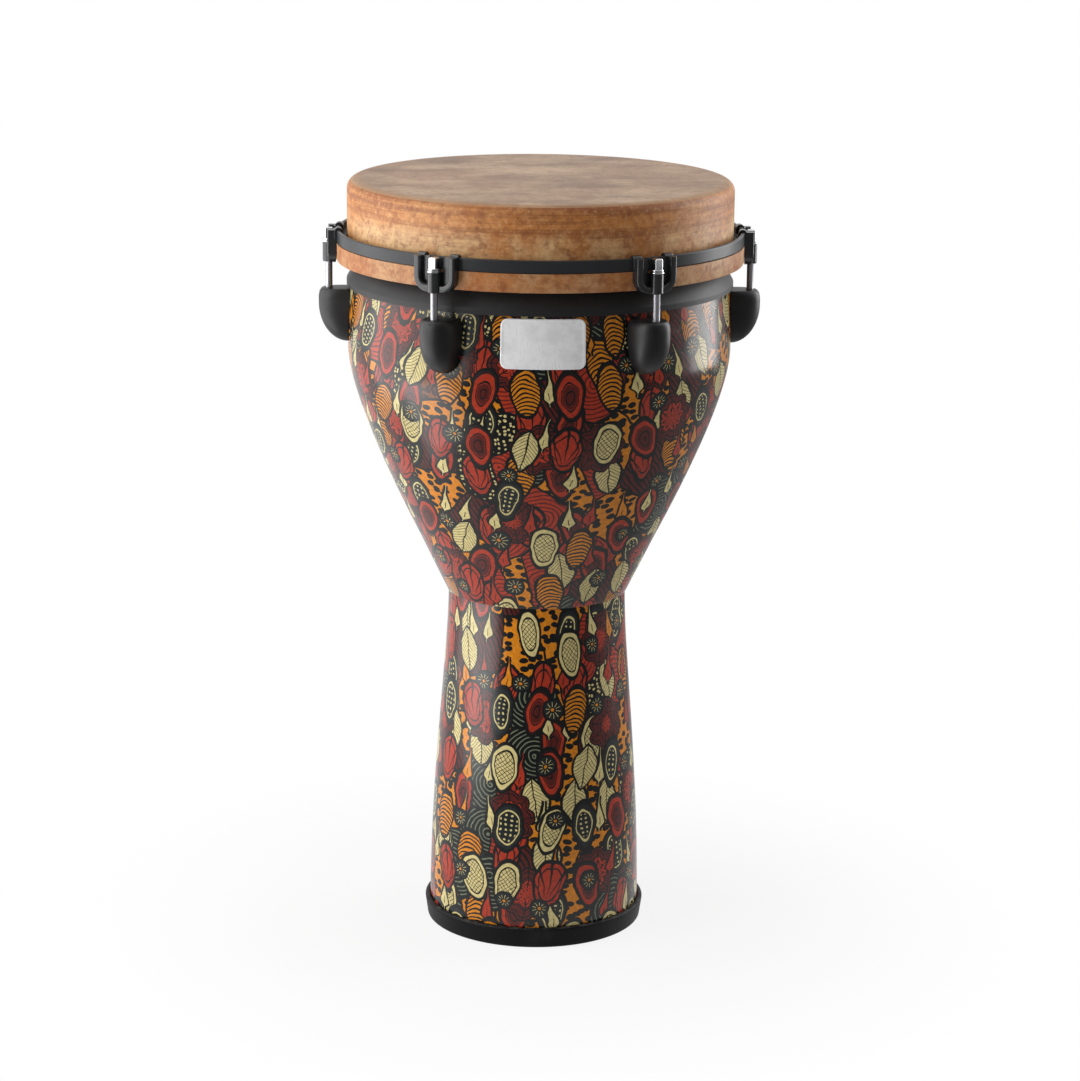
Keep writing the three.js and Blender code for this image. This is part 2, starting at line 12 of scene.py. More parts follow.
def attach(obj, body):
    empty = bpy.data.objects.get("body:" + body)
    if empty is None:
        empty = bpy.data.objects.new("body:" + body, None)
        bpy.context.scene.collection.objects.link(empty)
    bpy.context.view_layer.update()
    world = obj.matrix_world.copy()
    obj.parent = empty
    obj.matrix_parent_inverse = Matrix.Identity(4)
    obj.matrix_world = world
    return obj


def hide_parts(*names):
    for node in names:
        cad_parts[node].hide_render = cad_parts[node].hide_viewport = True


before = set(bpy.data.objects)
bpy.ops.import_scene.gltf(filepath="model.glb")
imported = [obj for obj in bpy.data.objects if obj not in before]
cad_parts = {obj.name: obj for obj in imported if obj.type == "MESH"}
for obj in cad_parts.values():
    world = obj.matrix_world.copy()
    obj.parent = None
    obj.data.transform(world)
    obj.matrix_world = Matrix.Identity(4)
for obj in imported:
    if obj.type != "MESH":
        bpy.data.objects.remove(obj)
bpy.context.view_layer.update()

MM = 0.001
SHARP_ANGLE = math.radians(35)

# Shells
SHELL_WALL = 5.0
STEM_FOOT_RADIUS, STEM_NECK_RADIUS = 85.6, 71.3
STEM_FOOT_Z, SHOULDER_Z = 4.3, 278.2
STEM_FOOT_RISE, STEM_NECK_DROP, STEM_SHEET_RADIUS = 123.0, 54.0, 78.5
SPIGOT_RADIUS, SPIGOT_THROAT, SPIGOT_TOP_Z, SPIGOT_TAPER = 66.0, 62.5, 287.2, 12.0
BOWL_BASE_Z, BOWL_TOP_Z, BELLY_Z = 278.5, 526.4, 477.5
WAIST_RADIUS, FLARE_RADIUS, CONE_RADIUS = 72.3, 77.2, 92.5
BELLY_RADIUS, MOUTH_RADIUS = 151.8, 150.0
FLARE_Z, CONE_Z, BELLY_REACH, BELLY_DROP = 288.0, 320.0, 15.8, 43.0
FOOT_INNER, FOOT_SEAT, FOOT_BASE, FOOT_BULGE, FOOT_HEIGHT, FOOT_LEDGE = 78.6, 85.9, 87.4, 89.9, 17, 4

# Ring stack
SEAT_GAP = 0.3
RIM_INNER, RIM_RADIUS, RIM_LIP_RADIUS = 138.5, 144.5, 152.8
RIM_FOOT_Z, RIM_LIP_Z, RIM_LIP_TOP_Z, RIM_WALL_Z, CROWN_Z = 518.7, 526.7, 531.0, 545.7, 609.1
HEAD_TOP_Z, HEAD_RADIUS, HEAD_CORNER, FILM = 610.0, 152.4, 8.0, 0.6
HOOP_RADIUS, HOOP_TOP_Z, HOOP_BOTTOM_Z, HOOP_WALL = 160.9, 570.4, 560.6, 3.0
HOOP_FLANGE_INNER, HOOP_FLANGE = 153.2, 2.8
FLESH_INNER, FLESH_OUTER, FLESH_BOTTOM_Z, FLESH_TOP_Z = 152.7, 160.0, 546.6, 560.3

# Lug stations
LUGS = 6
ROD_CIRCLE = 166.7
ROD_RADIUS, ROD_END_Z = 2.75, 501.6
ROD_BORE, ROD_HOLE, ROD_WAY = ROD_RADIUS + SEAT_GAP, ROD_RADIUS + 0.9, ROD_RADIUS + 1.1
THREAD_PITCH, THREAD_DEPTH, THREAD_TOP_Z = 1.058, 0.35, 521.0
FLANGE_Z, FLANGE_RADIUS, FLANGE_HEIGHT = 560.4, 5.0, 1.6
KEY_SIZE, KEY_RISE = 6.35, 9.8
CLAW_BOTTOM_Z, CLAW_HALF_WIDTH, CLAW_CORNER, CLAW_PLATE, CLAW_BAR = 543.4, 17.5, 11.5, 1.8, 5.6
CLAW_RIM_BACK, CLAW_RIM_FACE, CLAW_RIM_END = 159.6, 167.6, 4.0
CLAW_NOTCH, CLAW_FOOT, CLAW_TAPER_Z, HOOK_WIDTH = 5.8, 7, 556, 7.0
SLEEVE_RADIUS, SLEEVE_TOP_Z = 4.95, 558.6
WASHER_RADIUS, WASHER_BOTTOM_Z, WASHER_TOP_Z = 5.5, 558.9, 560.1
NUT_RADIUS, NUT_COLLAR = 4.6, 5.4
NUT_BOTTOM_Z, NUT_COLLAR_Z, NUT_TOP_Z = 504.6, 516.6, 519.6
CASING_TOP_Z, CASING_HEIGHT, CASING_HALF_WIDTH, CASING_REACH = 522.5, 42.8, 15.0, 175.0
CASING_SHOULDER, CASING_WALL, CASING_ROUND, CASING_INSET = 11.5, 2.6, 8.0, 3.6
CASING_SQUARENESS = 2.5
BARREL_INNER, BARREL_OUTER, BARREL_BOTTOM_Z, BARREL_TOP_Z = 5.75, 7.6, 504.7, 520.2
BOSS_INNER, BOSS_OUTER, BOSS_BACK, BOSS_FRONT = 2.7, 4.7, 153.0, 160.5
SCREW_HEIGHTS = {"upper": 512.0, "lower": 490.0}
SCREW_RADIUS, SCREW_HEAD, SCREW_TIP = 2.4, 5.5, 159.7

# Bare plate on the bowl
PLATE_HALF_WIDTH, PLATE_HALF_HEIGHT, PLATE_MIDDLE_Z = 32.2, 19.1, 505.7
PLATE_CORNER, PLATE_STAND, PLATE_TURN = 5.5, 0.25, math.radians(0.6)


# Outlines

def bezier(start, pull, drag, end, steps):
    """Points along a cubic curve from start to end, both included."""
    points = []
    for i in range(steps + 1):
        t = i / steps
        shares = (1 - t) ** 3, 3 * t * (1 - t) ** 2, 3 * t * t * (1 - t), t ** 3
        corners = (start, pull, drag, end)
        points.append(tuple(sum(s * c[axis] for s, c in zip(shares, corners)) for axis in (0, 1)))
    return points


def softened(corners, steps=4):
    """A closed outline whose corners may carry a third number, the length of their rounding.
    A point just outside each rounding keeps the long sides flat where they are shaded."""
    points = []
    for i, (x, y, *turn) in enumerate(corners):
        if not turn:
            points.append((x, y))
            continue
        corner = Vector((x, y))
        sides = [Vector(corners[k % len(corners)][:2]) - corner for k in (i - 1, i + 1)]
        start, end = (corner + side.normalized() * turn[0] for side in sides)
        outer = [corner + side.normalized() * turn[0] * 1.4 for side in sides]
        before, after = ([p] if side.length > 4 * turn[0] else [] for p, side in zip(outer, sides))
        shares = [k / steps for k in range(steps + 1)]
        bend = [start * (1 - t) ** 2 + corner * (2 * t * (1 - t)) + end * t * t for t in shares]
        points += [tuple(p) for p in before + bend + after]
    return points


def arc(centre, radius, from_degrees, to_degrees, steps):
    """Points of a round from one angle to another."""
    points = []
    for i in range(steps + 1):
        angle = math.radians(from_degrees + (to_degrees - from_degrees) * i / steps)
        points.append((centre[0] + radius * math.cos(angle), centre[1] + radius * math.sin(angle)))
    return points


def inward(profile, distance):
    """A rising profile moved towards the axis."""
    moved = []
    for i, (r, z) in enumerate(profile):
        r0, z0 = profile[max(i - 1, 0)]
        r1, z1 = profile[min(i + 1, len(profile) - 1)]
        length = math.hypot(r1 - r0, z1 - z0)
        moved.append((r - distance * (z1 - z0) / length, z + distance * (r1 - r0) / length))
    return moved


def radius_at(profile, z):
    """Radius of a rising profile at a height."""
    for (r0, z0), (r1, z1) in zip(profile, profile[1:]):
        if z0 <= z <= z1:
            return r0 + (r1 - r0) * (z - z0) / (z1 - z0)
    return profile[0][0] if z < profile[0][1] else profile[-1][0]


def tube(inner, outer, bottom, top, *turns):
    """Outline of a tube, with the roundings of its inner and outer corners."""
    places = ((inner, bottom), (outer, bottom), (outer, top), (inner, top))
    return [(*place, *(turns[:1] if place[0] == inner else turns[1:])) for place in places]


def rounded_box(width, height, turn):
    """Closed outline of a box about its middle, with rounded corners."""
    x, y = width / 2, height / 2
    return softened([(-x, -y, turn), (x, -y, turn), (x, y, turn), (-x, y, turn)], 3)


stem_profile = bezier(
    (STEM_FOOT_RADIUS, STEM_FOOT_Z),
    (STEM_FOOT_RADIUS, STEM_FOOT_Z + STEM_FOOT_RISE),
    (STEM_NECK_RADIUS, SHOULDER_Z - STEM_NECK_DROP),
    (STEM_NECK_RADIUS, SHOULDER_Z),
    48,
)
cone_angle = math.atan2(CONE_RADIUS - FLARE_RADIUS, CONE_Z - FLARE_Z)
bowl_profile = [
    (WAIST_RADIUS, BOWL_BASE_Z),
    *bezier(
        (WAIST_RADIUS + 0.4, BOWL_BASE_Z + 0.6),
        (FLARE_RADIUS - 2.4, FLARE_Z - 4.8),
        (FLARE_RADIUS + 2.4, FLARE_Z + 5.0),
        (CONE_RADIUS, CONE_Z),
        14,
    ),
    *bezier(
        (CONE_RADIUS, CONE_Z),
        (CONE_RADIUS + BELLY_REACH * math.sin(cone_angle), CONE_Z + BELLY_REACH * math.cos(cone_angle)),
        (BELLY_RADIUS, BELLY_Z - BELLY_DROP),
        (BELLY_RADIUS, BELLY_Z),
        48,
    )[1:],
    *bezier(
        (BELLY_RADIUS, BELLY_Z),
        (BELLY_RADIUS, BELLY_Z + 14),
        (MOUTH_RADIUS + 0.6, BOWL_TOP_Z - 16),
        (MOUTH_RADIUS, BOWL_TOP_Z),
        12,
    )[1:],
]


# Mesh building

def turned(body, outline, sides, place=Matrix.Identity(4), finish_of=None, sheet=None, reshape=None):
    """Revolves a closed outline about the place's Z axis into the body, starting from the back.
    finish_of gives a stretch of the outline its material number, and sheet its flat coordinates."""
    layer = body.loops.layers.uv.get("covering") if sheet else None
    angles = [-math.pi + 2 * math.pi * i / sides for i in range(sides + 1)]
    rings = []
    for r, z in outline:
        if r < 1e-6:
            rings.append([body.verts.new(place @ Vector((0, 0, z * MM)))] * sides)
            continue
        ring = []
        for angle in angles[:-1]:
            reach = reshape(angle, r, z) if reshape else r
            at = Vector((reach * math.sin(angle), -reach * math.cos(angle), z)) * MM
            ring.append(body.verts.new(place @ at))
        rings.append(ring)
    along = [0.0]
    for (r0, z0), (r1, z1) in zip(outline, outline[1:] + outline[:1]):
        along.append(along[-1] + math.hypot(r1 - r0, z1 - z0))
    for k in range(len(outline)):
        low, high = rings[k], rings[(k + 1) % len(outline)]
        for i in range(sides):
            j = (i + 1) % sides
            corners = [(low[i], i, k), (low[j], i + 1, k), (high[j], i + 1, k + 1), (high[i], i, k + 1)]
            kept = [c for m, c in enumerate(corners) if c[0] not in [other[0] for other in corners[:m]]]
            if len(kept) < 3:
                continue
            face = body.faces.new([c[0] for c in kept])
            face.smooth = True
            if finish_of:
                face.material_index = finish_of(k)
            if layer:
                for loop, (_, step, level) in zip(face.loops, kept):
                    loop[layer].uv = sheet(angles[step], along[level])


def ring_of(body, points, place=Matrix.Identity(4)):
    """New vertices at points given in millimetres."""
    return [body.verts.new(place @ (Vector(point) * MM)) for point in points]


def strip(body, low, high, closed=True):
    """Faces between two rows of equally many vertices."""
    count = len(low) if closed else len(low) - 1
    for i in range(count):
        j = (i + 1) % len(low)
        body.faces.new((low[i], low[j], high[j], high[i])).smooth = True


def lofted(body, rings, closed=True, capped=True):
    """Skins a row of rings and may close both ends."""
    for low, high in zip(rings, rings[1:]):
        strip(body, low, high, closed)
    if capped:
        body.faces.new(rings[0])
        body.faces.new(rings[-1])


def swept(body, path, section, place=Matrix.Identity(4)):
    """Carries a closed section along a path of (origin, side, up) frames, with both ends capped."""
    rings = []
    for origin, side, up in path:
        rings.append(ring_of(body, [origin + side * a + up * b for a, b in section], place))
    lofted(body, rings)


def new_body():
    body = bmesh.new()
    body.loops.layers.uv.new("covering")
    return body


def linked(name, data):
    """A new object in the scene."""
    item = bpy.data.objects.new(name, data)
    bpy.context.scene.collection.objects.link(item)
    return item


def finished(name, body, rides_on, finishes, node, lug=0):
    """Turns a body into a piece; lug is how many stations it is turned about the drum's axis."""
    mesh = bpy.data.meshes.new(name)
    bmesh.ops.recalc_face_normals(body, faces=body.faces)
    body.to_mesh(mesh)
    mesh.transform(Matrix.Rotation(2 * math.pi * lug / LUGS, 4, "Z"))
    mesh.set_sharp_from_angle(angle=SHARP_ANGLE)
    for finish in finishes:
        mesh.materials.append(finish)
    piece = linked(name, mesh)
    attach(piece, rides_on)
    if node:
        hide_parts(node)


def turned_body(outline, sides, place=Matrix.Identity(4), **settings):
    body = new_body()
    turned(body, outline, sides, place, **settings)
    return body


# Shader arithmetic

NUMBER, VECTOR, COLOUR = "NodeSocketFloat", "NodeSocketVector", "NodeSocketColor"
WHITE = (1, 1, 1, 1)
SHORT_FADE = 0.001


def operation(kind, swapped=False):
    """An operator of Wire that adds a math node."""
    def apply(wire, *other):
        return wire.nodes.math(kind, *other, wire) if swapped else wire.nodes.math(kind, wire, *other)
    return apply


class Wire:
    """A shader output that can be added, multiplied and so on."""

    def __init__(self, nodes, socket):
        self.nodes, self.socket = nodes, socket

    __add__ = __radd__ = operation("ADD")
    __mul__ = __rmul__ = operation("MULTIPLY")
    __sub__ = operation("SUBTRACT")
    __rsub__ = operation("SUBTRACT", swapped=True)
    __truediv__ = operation("DIVIDE")
    __mod__ = operation("FLOORED_MODULO")
    __abs__ = operation("ABSOLUTE")


class Nodes:
    """Adds nodes to one tree and wires them up."""

    def __init__(self, tree):
        self.tree = tree

    def feed(self, socket, value):
        if isinstance(value, Wire):
            self.tree.links.new(value.socket, socket)
        else:
            socket.default_value = value

    def add(self, kind, feeds=None, **settings):
        node = self.tree.nodes.new("ShaderNode" + kind)
        for setting, value in settings.items():
            setattr(node, setting, value)
        for socket, value in (feeds or {}).items():
            self.feed(node.inputs[socket], value)
        return node

    def out(self, node, socket=0):
        return Wire(self, node.outputs[socket])

    def math(self, operation, *values):
        node = self.add("Math", operation=operation)
        for socket, value in zip(node.inputs, values):
            self.feed(socket, value)
        return self.out(node)

    def most(self, *values):
        return self.math("MAXIMUM", *values)

    def place(self):
        """Where a point lies on its piece, in metres."""
        return self.out(self.add("TexCoord"), "Object")

    def vector(self, x, y, z=0.0):
        return self.out(self.add("CombineXYZ", {"X": x, "Y": y, "Z": z}))

    def split(self, vector):
        node = self.add("SeparateXYZ", {"Vector": vector})
        return [self.out(node, axis) for axis in "XYZ"]

    def stretched(self, vector, x, y, z):
        return self.out(self.add("Mapping", {"Vector": vector, "Scale": (x, y, z)}))

    def length(self, x, y):
        return self.out(self.add("VectorMath", {0: self.vector(x, y)}, operation="LENGTH"), "Value")

    def fade(self, value, low, high):
        """0 below low and 1 above high, or the other way round."""
        feeds = {"Value": value, "From Min": low, "From Max": high}
        return self.out(self.add("MapRange", feeds, interpolation_type="SMOOTHSTEP"))

    def below(self, value, limit, soft=0.15):
        return self.fade(value, limit + soft, limit - soft)

    def above(self, value, limit, soft=0.15):
        return self.fade(value, limit - soft, limit + soft)

    def mix(self, share, first, second, blend="MIX"):
        node = self.add("Mix", {0: share, 6: first, 7: second}, data_type="RGBA", blend_type=blend)
        return self.out(node, 2)

    def noise(self, vector, scale, detail=2.0, rough=0.5, flat=False, output=0):
        feeds = {"Vector": vector, "Scale": scale, "Detail": detail, "Roughness": rough}
        kind = "2D" if flat else "3D"
        return self.out(self.add("TexNoise", feeds, noise_dimensions=kind), output)

    def cells(self, vector, scatter=1.0, feature="F1"):
        feeds = {"Vector": vector, "Scale": 1.0, "Randomness": scatter}
        return self.add("TexVoronoi", feeds, voronoi_dimensions="2D", feature=feature)

    def tossed(self, x, y, seed):
        """Three random numbers of a place."""
        toss = self.add("TexWhiteNoise", {"Vector": self.vector(x, y, seed)}, noise_dimensions="3D")
        return self.split(self.out(toss, "Color"))

    def scattered(self, x, y, step, half, seed, chance):
        """Staggered places, one motif in each: its own coordinates, signed room and random numbers.
        A motif of the half size moves, leans and grows as far as its place leaves room."""
        row = self.math("FLOOR", y / step[1])
        across = x / step[0] + self.tossed(row, seed, 9.0)[0]
        column = self.math("FLOOR", across)
        shift_x, shift_y, lean = self.tossed(column, row, seed)
        shown, first, second = self.tossed(column, row, seed + 0.5)
        room_x = step[0] - 2 * half[0]
        room_y = step[1] - 2 * half[1]
        from_x = (across - column - 0.5) * step[0] + (shift_x - 0.5) * room_x
        from_y = (y / step[1] - row - 0.5) * step[1] + (shift_y - 0.5) * room_y
        tilt = (lean - 0.5) * 0.5
        here = self.below(shown, chance, SHORT_FADE)
        return from_x + from_y * tilt, from_y - from_x * tilt, here, first, second


def effect(name, build, **inputs):
    """A node group: build takes its nodes and inputs, and gives its results by name."""
    tree = bpy.data.node_groups.new(name, "ShaderNodeTree")
    for label, value in inputs.items():
        kind = {3: VECTOR, 4: COLOUR}[len(value)] if isinstance(value, tuple) else NUMBER
        tree.interface.new_socket(label, in_out="INPUT", socket_type=kind).default_value = value
    n = Nodes(tree)
    given = tree.nodes.new("NodeGroupInput")
    results = build(n, *[Wire(n, socket) for socket in given.outputs if socket.name])
    for label in results:
        kind = COLOUR if label == "Color" else NUMBER
        tree.interface.new_socket(label, in_out="OUTPUT", socket_type=kind)
    output = tree.nodes.new("NodeGroupOutput")
    for label, value in results.items():
        n.feed(output.inputs[label], value)
    return tree


def ink(code):
    """Linear colour of a six-digit code."""
    shares = [int(code[i:i + 2], 16) / 255 for i in (0, 2, 4)]
    return (*[c / 12.92 if c <= 0.04045 else ((c + 0.055) / 1.055) ** 2.4 for c in shares], 1.0)


# Effects shared by several materials

def covering_print(n, sheet, red, deep, orange, cream, dark, charcoal, sage):
    """Rosettes, drops, leaves, pods and beads thrown over coloured patches, all outlined."""
    sheet_x, sheet_y, _ = n.split(sheet)
    wobble_x, wobble_y, _ = n.split(n.noise(sheet, 0.07, 1.0, flat=True, output=1))
    wobble = 4.0
    x = sheet_x + (wobble_x - 0.5) * wobble
    y = sheet_y + (wobble_y - 0.5) * wobble

    def chosen(pick, choices):
        """One of several colours by a random number, each with the share at which it starts."""
        colour = choices[0][1]
        for start, other in choices[1:]:
            colour = n.mix(n.above(pick, start, SHORT_FADE), colour, other)
        return colour

    def laid(picture, edge, face, rim, here):
        """A motif on the picture: its face where the edge is negative, inside a dark outline."""
        picture = n.mix(n.below(edge, rim) * here, picture, dark)
        return n.mix(n.below(edge, 0.0) * here, picture, face)

    # Patches of ground, each with its own marks
    width, height, edge_scale = 34.0, 43.0, 38.0
    patch_vector = n.vector(x / width, y / height)
    patch = n.cells(patch_vector, 1.0)
    patch_edge = n.out(n.cells(patch_vector, 1.0, "DISTANCE_TO_EDGE")) * edge_scale
    middle_x, middle_y, _ = n.split(n.out(patch, "Position"))
    patch_x = (x / width - middle_x) * width
    patch_y = (y / height - middle_y) * height
    kind, lean, _ = n.split(n.out(patch, "Color"))
    arcs = n.below((n.length(patch_x, patch_y) + lean * 9.0) % 3.6, 1.1)
    spots = n.below(n.out(n.cells(n.vector(x / 9.5, y / 6.5), 0.8)), 0.36, 0.02)
    dots = n.below(n.out(n.cells(n.vector(x / 3.7, y / 4.0), 0.7)), 0.27, 0.04)
    blades = n.below(abs((patch_x * 0.9 + patch_y * 0.5) % 4.0 - 2.0), 0.8)
    ground = chosen(kind, [
        (0.0, n.mix(arcs, red, deep)),
        (0.28, n.mix(blades, deep, dark)),
        (0.46, n.mix(spots, orange, dark)),
        (0.74, n.mix(dots, dark, cream)),
        (0.85, n.mix(n.fade(arcs, 0.5, 1.0), dark, sage)),
    ])
    picture = n.mix(n.below(patch_edge, 1.0), ground, dark)

    def large_motifs(picture, start, seed, chance):
        """Leaves, pods, shields, striped shells, seeds and fans. Also gives the motifs' edges."""
        step, half_size = (31.0, 47.0), (12.4, 20.4)
        place_x, place_y = x + start[0], y + start[1]
        u, v, here, first, second = n.scattered(place_x, place_y, step, half_size, seed, chance)
        half = second * 2.6 + 8.6
        side, tall = abs(u), v / 18.2
        oval = n.length(u / (half + v * 0.08), tall) - 1.0
        leaf = (side / half + tall * tall - 1.0) * 0.8
        edge = (oval + (leaf - oval) * n.below(first, 0.21, SHORT_FADE)) * half
        inner_line = n.below(abs(edge + 2.3), 0.42)
        veins = n.most(n.below((side * 0.9 + v) % 3.2, 0.6), n.below(side, 0.5))
        pod_dots = n.length(side % 4.2 - 2.1, v % 4.2 - 2.1)
        pod = n.mix(n.below(pod_dots, 0.95) * n.below(edge, -3.4), charcoal, cream)
        pod = n.mix(inner_line, pod, cream)
        shield = n.mix(n.below((edge * -1.0) % 3.2, 0.75), n.mix(n.below(edge, -4.2), red, deep), dark)
        ribs = n.below(abs(n.math("SINE", n.math("ARCTAN2", u, v + 16.0) * 9.0)), 0.3)
        fan = n.mix(n.most(ribs, inner_line), red, dark)
        stripes = n.below((v + side * side * 0.06) % 3.5, 1.5)
        crossed = n.most(n.below((u + v) % 3.8, 0.65), n.below((u - v) % 3.8, 0.65))
        seed_face = n.mix(n.most(crossed * n.below(edge, -2.2), inner_line), cream, dark)
        face = chosen(first, [
            (0.0, n.mix(veins, cream, dark)),
            (0.21, pod),
            (0.36, shield),
            (0.50, n.mix(stripes, orange, dark)),
            (0.68, seed_face),
            (0.80, fan),
        ])
        return laid(picture, edge, face, 1.9, here), edge

    picture, _ = large_motifs(picture, (9.0, 26.0), 5.0, 0.8)

    # Rosettes, two tones of red
    u, v, here, _, second = n.scattered(x, y, (54.0, 64.0), (20.0, 23.0), 1.0, 0.6)
    around = n.math("ARCTAN2", u, v) * 4.0
    reach = n.length(u, v * 0.87)
    scallop = reach - abs(n.math("COSINE", around)) * 3.4
    edge = scallop - 15.6
    spokes = n.below(abs(n.math("SINE", around)) * reach, 1.7) * n.above(reach, 5.0)
    folds = n.below(scallop % 4.4, 0.9)
    face = n.mix(n.below(scallop, second * 8.0 + 3.0), deep, red)
    face = n.mix(n.most(spokes, folds), face, dark)
    picture = laid(picture, edge, face, 1.3, here)

    # Drops hanging between the larger motifs
    u, v, here, first, _ = n.scattered(x + 16.0, y + 4.0, (23.0, 39.0), (7.5, 17.0), 2.0, 0.66)
    belly = n.math("POWER", n.fade(v, 14.0, -11.0), 1.6) * n.fade(v, -13.0, -7.5) * 4.7
    edge = abs(u) - belly - 0.2
    face = chosen(first, [(0.0, cream), (0.5, orange), (0.7, red)])
    face = n.mix(n.below(abs(u), 0.35) * n.below(abs(v + 6.5), 3.0), face, dark)
    picture = laid(picture, edge, face, 1.9, here * n.below(abs(v), 15.0))

    picture, line_edge = large_motifs(picture, (0.0, 0.0), 3.0, 0.72)

    # Round dark beads with light rays
    u, v, here, _, second = n.scattered(x + 11.0, y + 20.0, (37.0, 52.0), (9.0, 10.0), 4.0, 0.5)
    reach = n.length(u, v)
    edge = reach - second * 1.6 - 6.2
    rays = n.below(abs(n.math("SINE", n.math("ARCTAN2", u, v) * 5.0)) * reach, 1.0)
    face = n.mix(rays * n.above(reach, 2.6) * n.below(edge, -1.4), charcoal, cream)
    face = n.mix(n.below(reach, 1.3), face, orange)
    picture = laid(picture, edge, face, 1.4, here)
    line = n.below(abs(line_edge), 1.0)

    # Uneven ink
    blotch = n.noise(sheet, 0.30, 3.0, 0.6, flat=True)
    shade = blotch * 0.8 + 0.57
    tone = n.out(n.add("CombineColor", {"Red": shade, "Green": shade, "Blue": shade}))
    return {"Color": n.mix(1.0, picture, tone, "MULTIPLY"), "Line": line}


def moulded_skin(n, base, grain_size, gloss, dust):
    """Fine moulding grain, rubbed patches and a little dust on what faces up."""
    place = n.place()
    grain = n.noise(place, grain_size, 2.0)
    rubbed = n.noise(place, 38.0, 3.0, 0.6)
    _, _, up = n.split(n.out(n.add("NewGeometry"), "Normal"))
    lint = n.fade(up, 0.2, 1.0) * n.fade(n.noise(place, 160.0, 4.0, 0.7), 0.45, 0.8) * dust
    colour = n.mix(lint, base, ink("8C8780"))
    colour = n.mix(n.fade(rubbed, 0.5, 0.9) * 0.25, colour, ink("3A3A3C"))
    rough = gloss + (rubbed - 0.5) * 0.16 + lint * 0.5
    return {"Color": colour, "Roughness": rough, "Height": grain}


def plated_metal(n, base, streak_scale, gloss, smudging):
    """Drawn streaks and faint smudges on metal."""
    place = n.place()
    streak_place = n.out(n.add("VectorMath", {0: place, 1: streak_scale}, operation="MULTIPLY"))
    streaks = n.noise(streak_place, 1.0, 3.0, 0.65)
    smudge = n.fade(n.noise(place, 90.0, 3.0, 0.6), 0.4, 0.75) * smudging
    colour = n.mix(smudge, base, ink("77787C"))
    rough = gloss + smudge * 0.6 + (streaks - 0.5) * 0.12
    return {"Color": colour, "Roughness": rough, "Height": streaks}


def skin_look(n, pale, tan, brown, clouded, banded, flecked):
    """Hide pattern: clouds, brushed streaks, a granular fleck, and level bands round the collar."""
    place = n.place()
    wander = n.noise(place, 12.0, 2.0, output=1)
    drift = n.out(n.add("VectorMath", {0: wander, "Scale": 0.03}, operation="SCALE"))
    bent = n.out(n.add("VectorMath", {0: place, 1: drift}, operation="ADD"))
    clouds = n.noise(bent, 15.0, 5.0, 0.65)
    brushed = n.noise(n.stretched(bent, 12.0, 27.0, 27.0), 1.0, 5.0, 0.6)
    patches = n.noise(bent, 7.0, 2.0, 0.5)
    level = n.noise(n.stretched(place, 4.5, 4.5, 150.0), 1.0, 4.0, 0.6)
    lines = n.noise(n.stretched(place, 9.0, 9.0, 620.0), 1.0, 2.0, 0.5)
    mottle = n.noise(n.stretched(bent, 120.0, 120.0, 170.0), 1.0, 3.0, 0.65)
    fleck = n.noise(place, 240.0, 4.0, 0.7)
    fine = n.noise(place, 900.0, 2.0, 0.7)
    colour = n.mix(n.fade(clouds, 0.38, 0.64), tan, pale)
    for value, low, high, share, shade in (
        (brushed, 0.46, 0.70, clouded * 0.7, brown),
        (patches, 0.44, 0.66, clouded * 0.6, brown),
        (banded, 0.35, 0.85, 0.75, tan),
        (level, 0.44, 0.64, banded * 0.6, brown),
        (lines, 0.50, 0.66, banded * 0.45, brown),
        (mottle, 0.46, 0.70, flecked * 0.9, brown),
        (fleck, 0.46, 0.72, flecked * 0.8, brown),
        (fleck, 0.48, 0.28, flecked * 0.7, pale),
        (fine, 0.50, 0.75, 0.25, brown),
    ):
        colour = n.mix(n.fade(value, low, high) * share, colour, shade)
    return {"Color": colour, "Height": clouds * 0.4 + fleck * 0.25 + fine * 0.12 + lines * banded * 0.15}


print_effect = effect(
    "Covering print",
    covering_print,
    Sheet=(0, 0, 0),
    Red=ink("9B2C14"),
    Deep=ink("4E150F"),
    Orange=ink("C0740B"),
    Cream=ink("C1B279"),
    Ink=ink("0B0C0D"),
    Charcoal=ink("191E1F"),
    Sage=ink("5F6752"),
)
black, grey = ink("202022"), ink("C8C8CA")
moulded_effect = effect("Moulded skin", moulded_skin, Base=black, Grain=900.0, Gloss=0.4, Dust=0.1)
metal_effect = effect("Plated metal", plated_metal, Base=grey, Streaks=(300, 300, 20), Gloss=0.2, Smudge=0.1)
hide = {"Pale": ink("C4A589"), "Tan": ink("A78669"), "Brown": ink("7D5A40")}
skin_effect = effect("Skin look", skin_look, **hide, Clouds=1.0, Bands=0.0, Flecks=0.5)


# Materials

class Finish(Nodes):
    """A material's nodes round one Principled shader, whose constants are set on the shader itself."""

    def __init__(self, name, **constants):
        self.material = bpy.data.materials.new(name)
        self.material.use_nodes = True
        super().__init__(self.material.node_tree)
        self.shader = self.tree.nodes["Principled BSDF"]
        for socket, value in constants.items():
            self.shader.inputs[socket.replace("_", " ")].default_value = value

    def placed(self, group, **values):
        return self.add("Group", values, node_tree=group)

    def dressed(self, colour, rough, height, depth):
        """The material with its colour, roughness and a relief of that depth in metres."""
        bump = self.add("Bump", {"Height": height, "Distance": depth, "Strength": 1.0})
        looks = {"Base Color": colour, "Roughness": rough, "Normal": self.out(bump)}
        for socket, value in looks.items():
            self.feed(self.shader.inputs[socket], value)
        return self.material

    def coated(self, group, depth, **values):
        """The material with its looks from one shared effect."""
        look = self.placed(group, **values)
        return self.dressed(*[self.out(look, part) for part in ("Color", "Roughness", "Height")], depth)


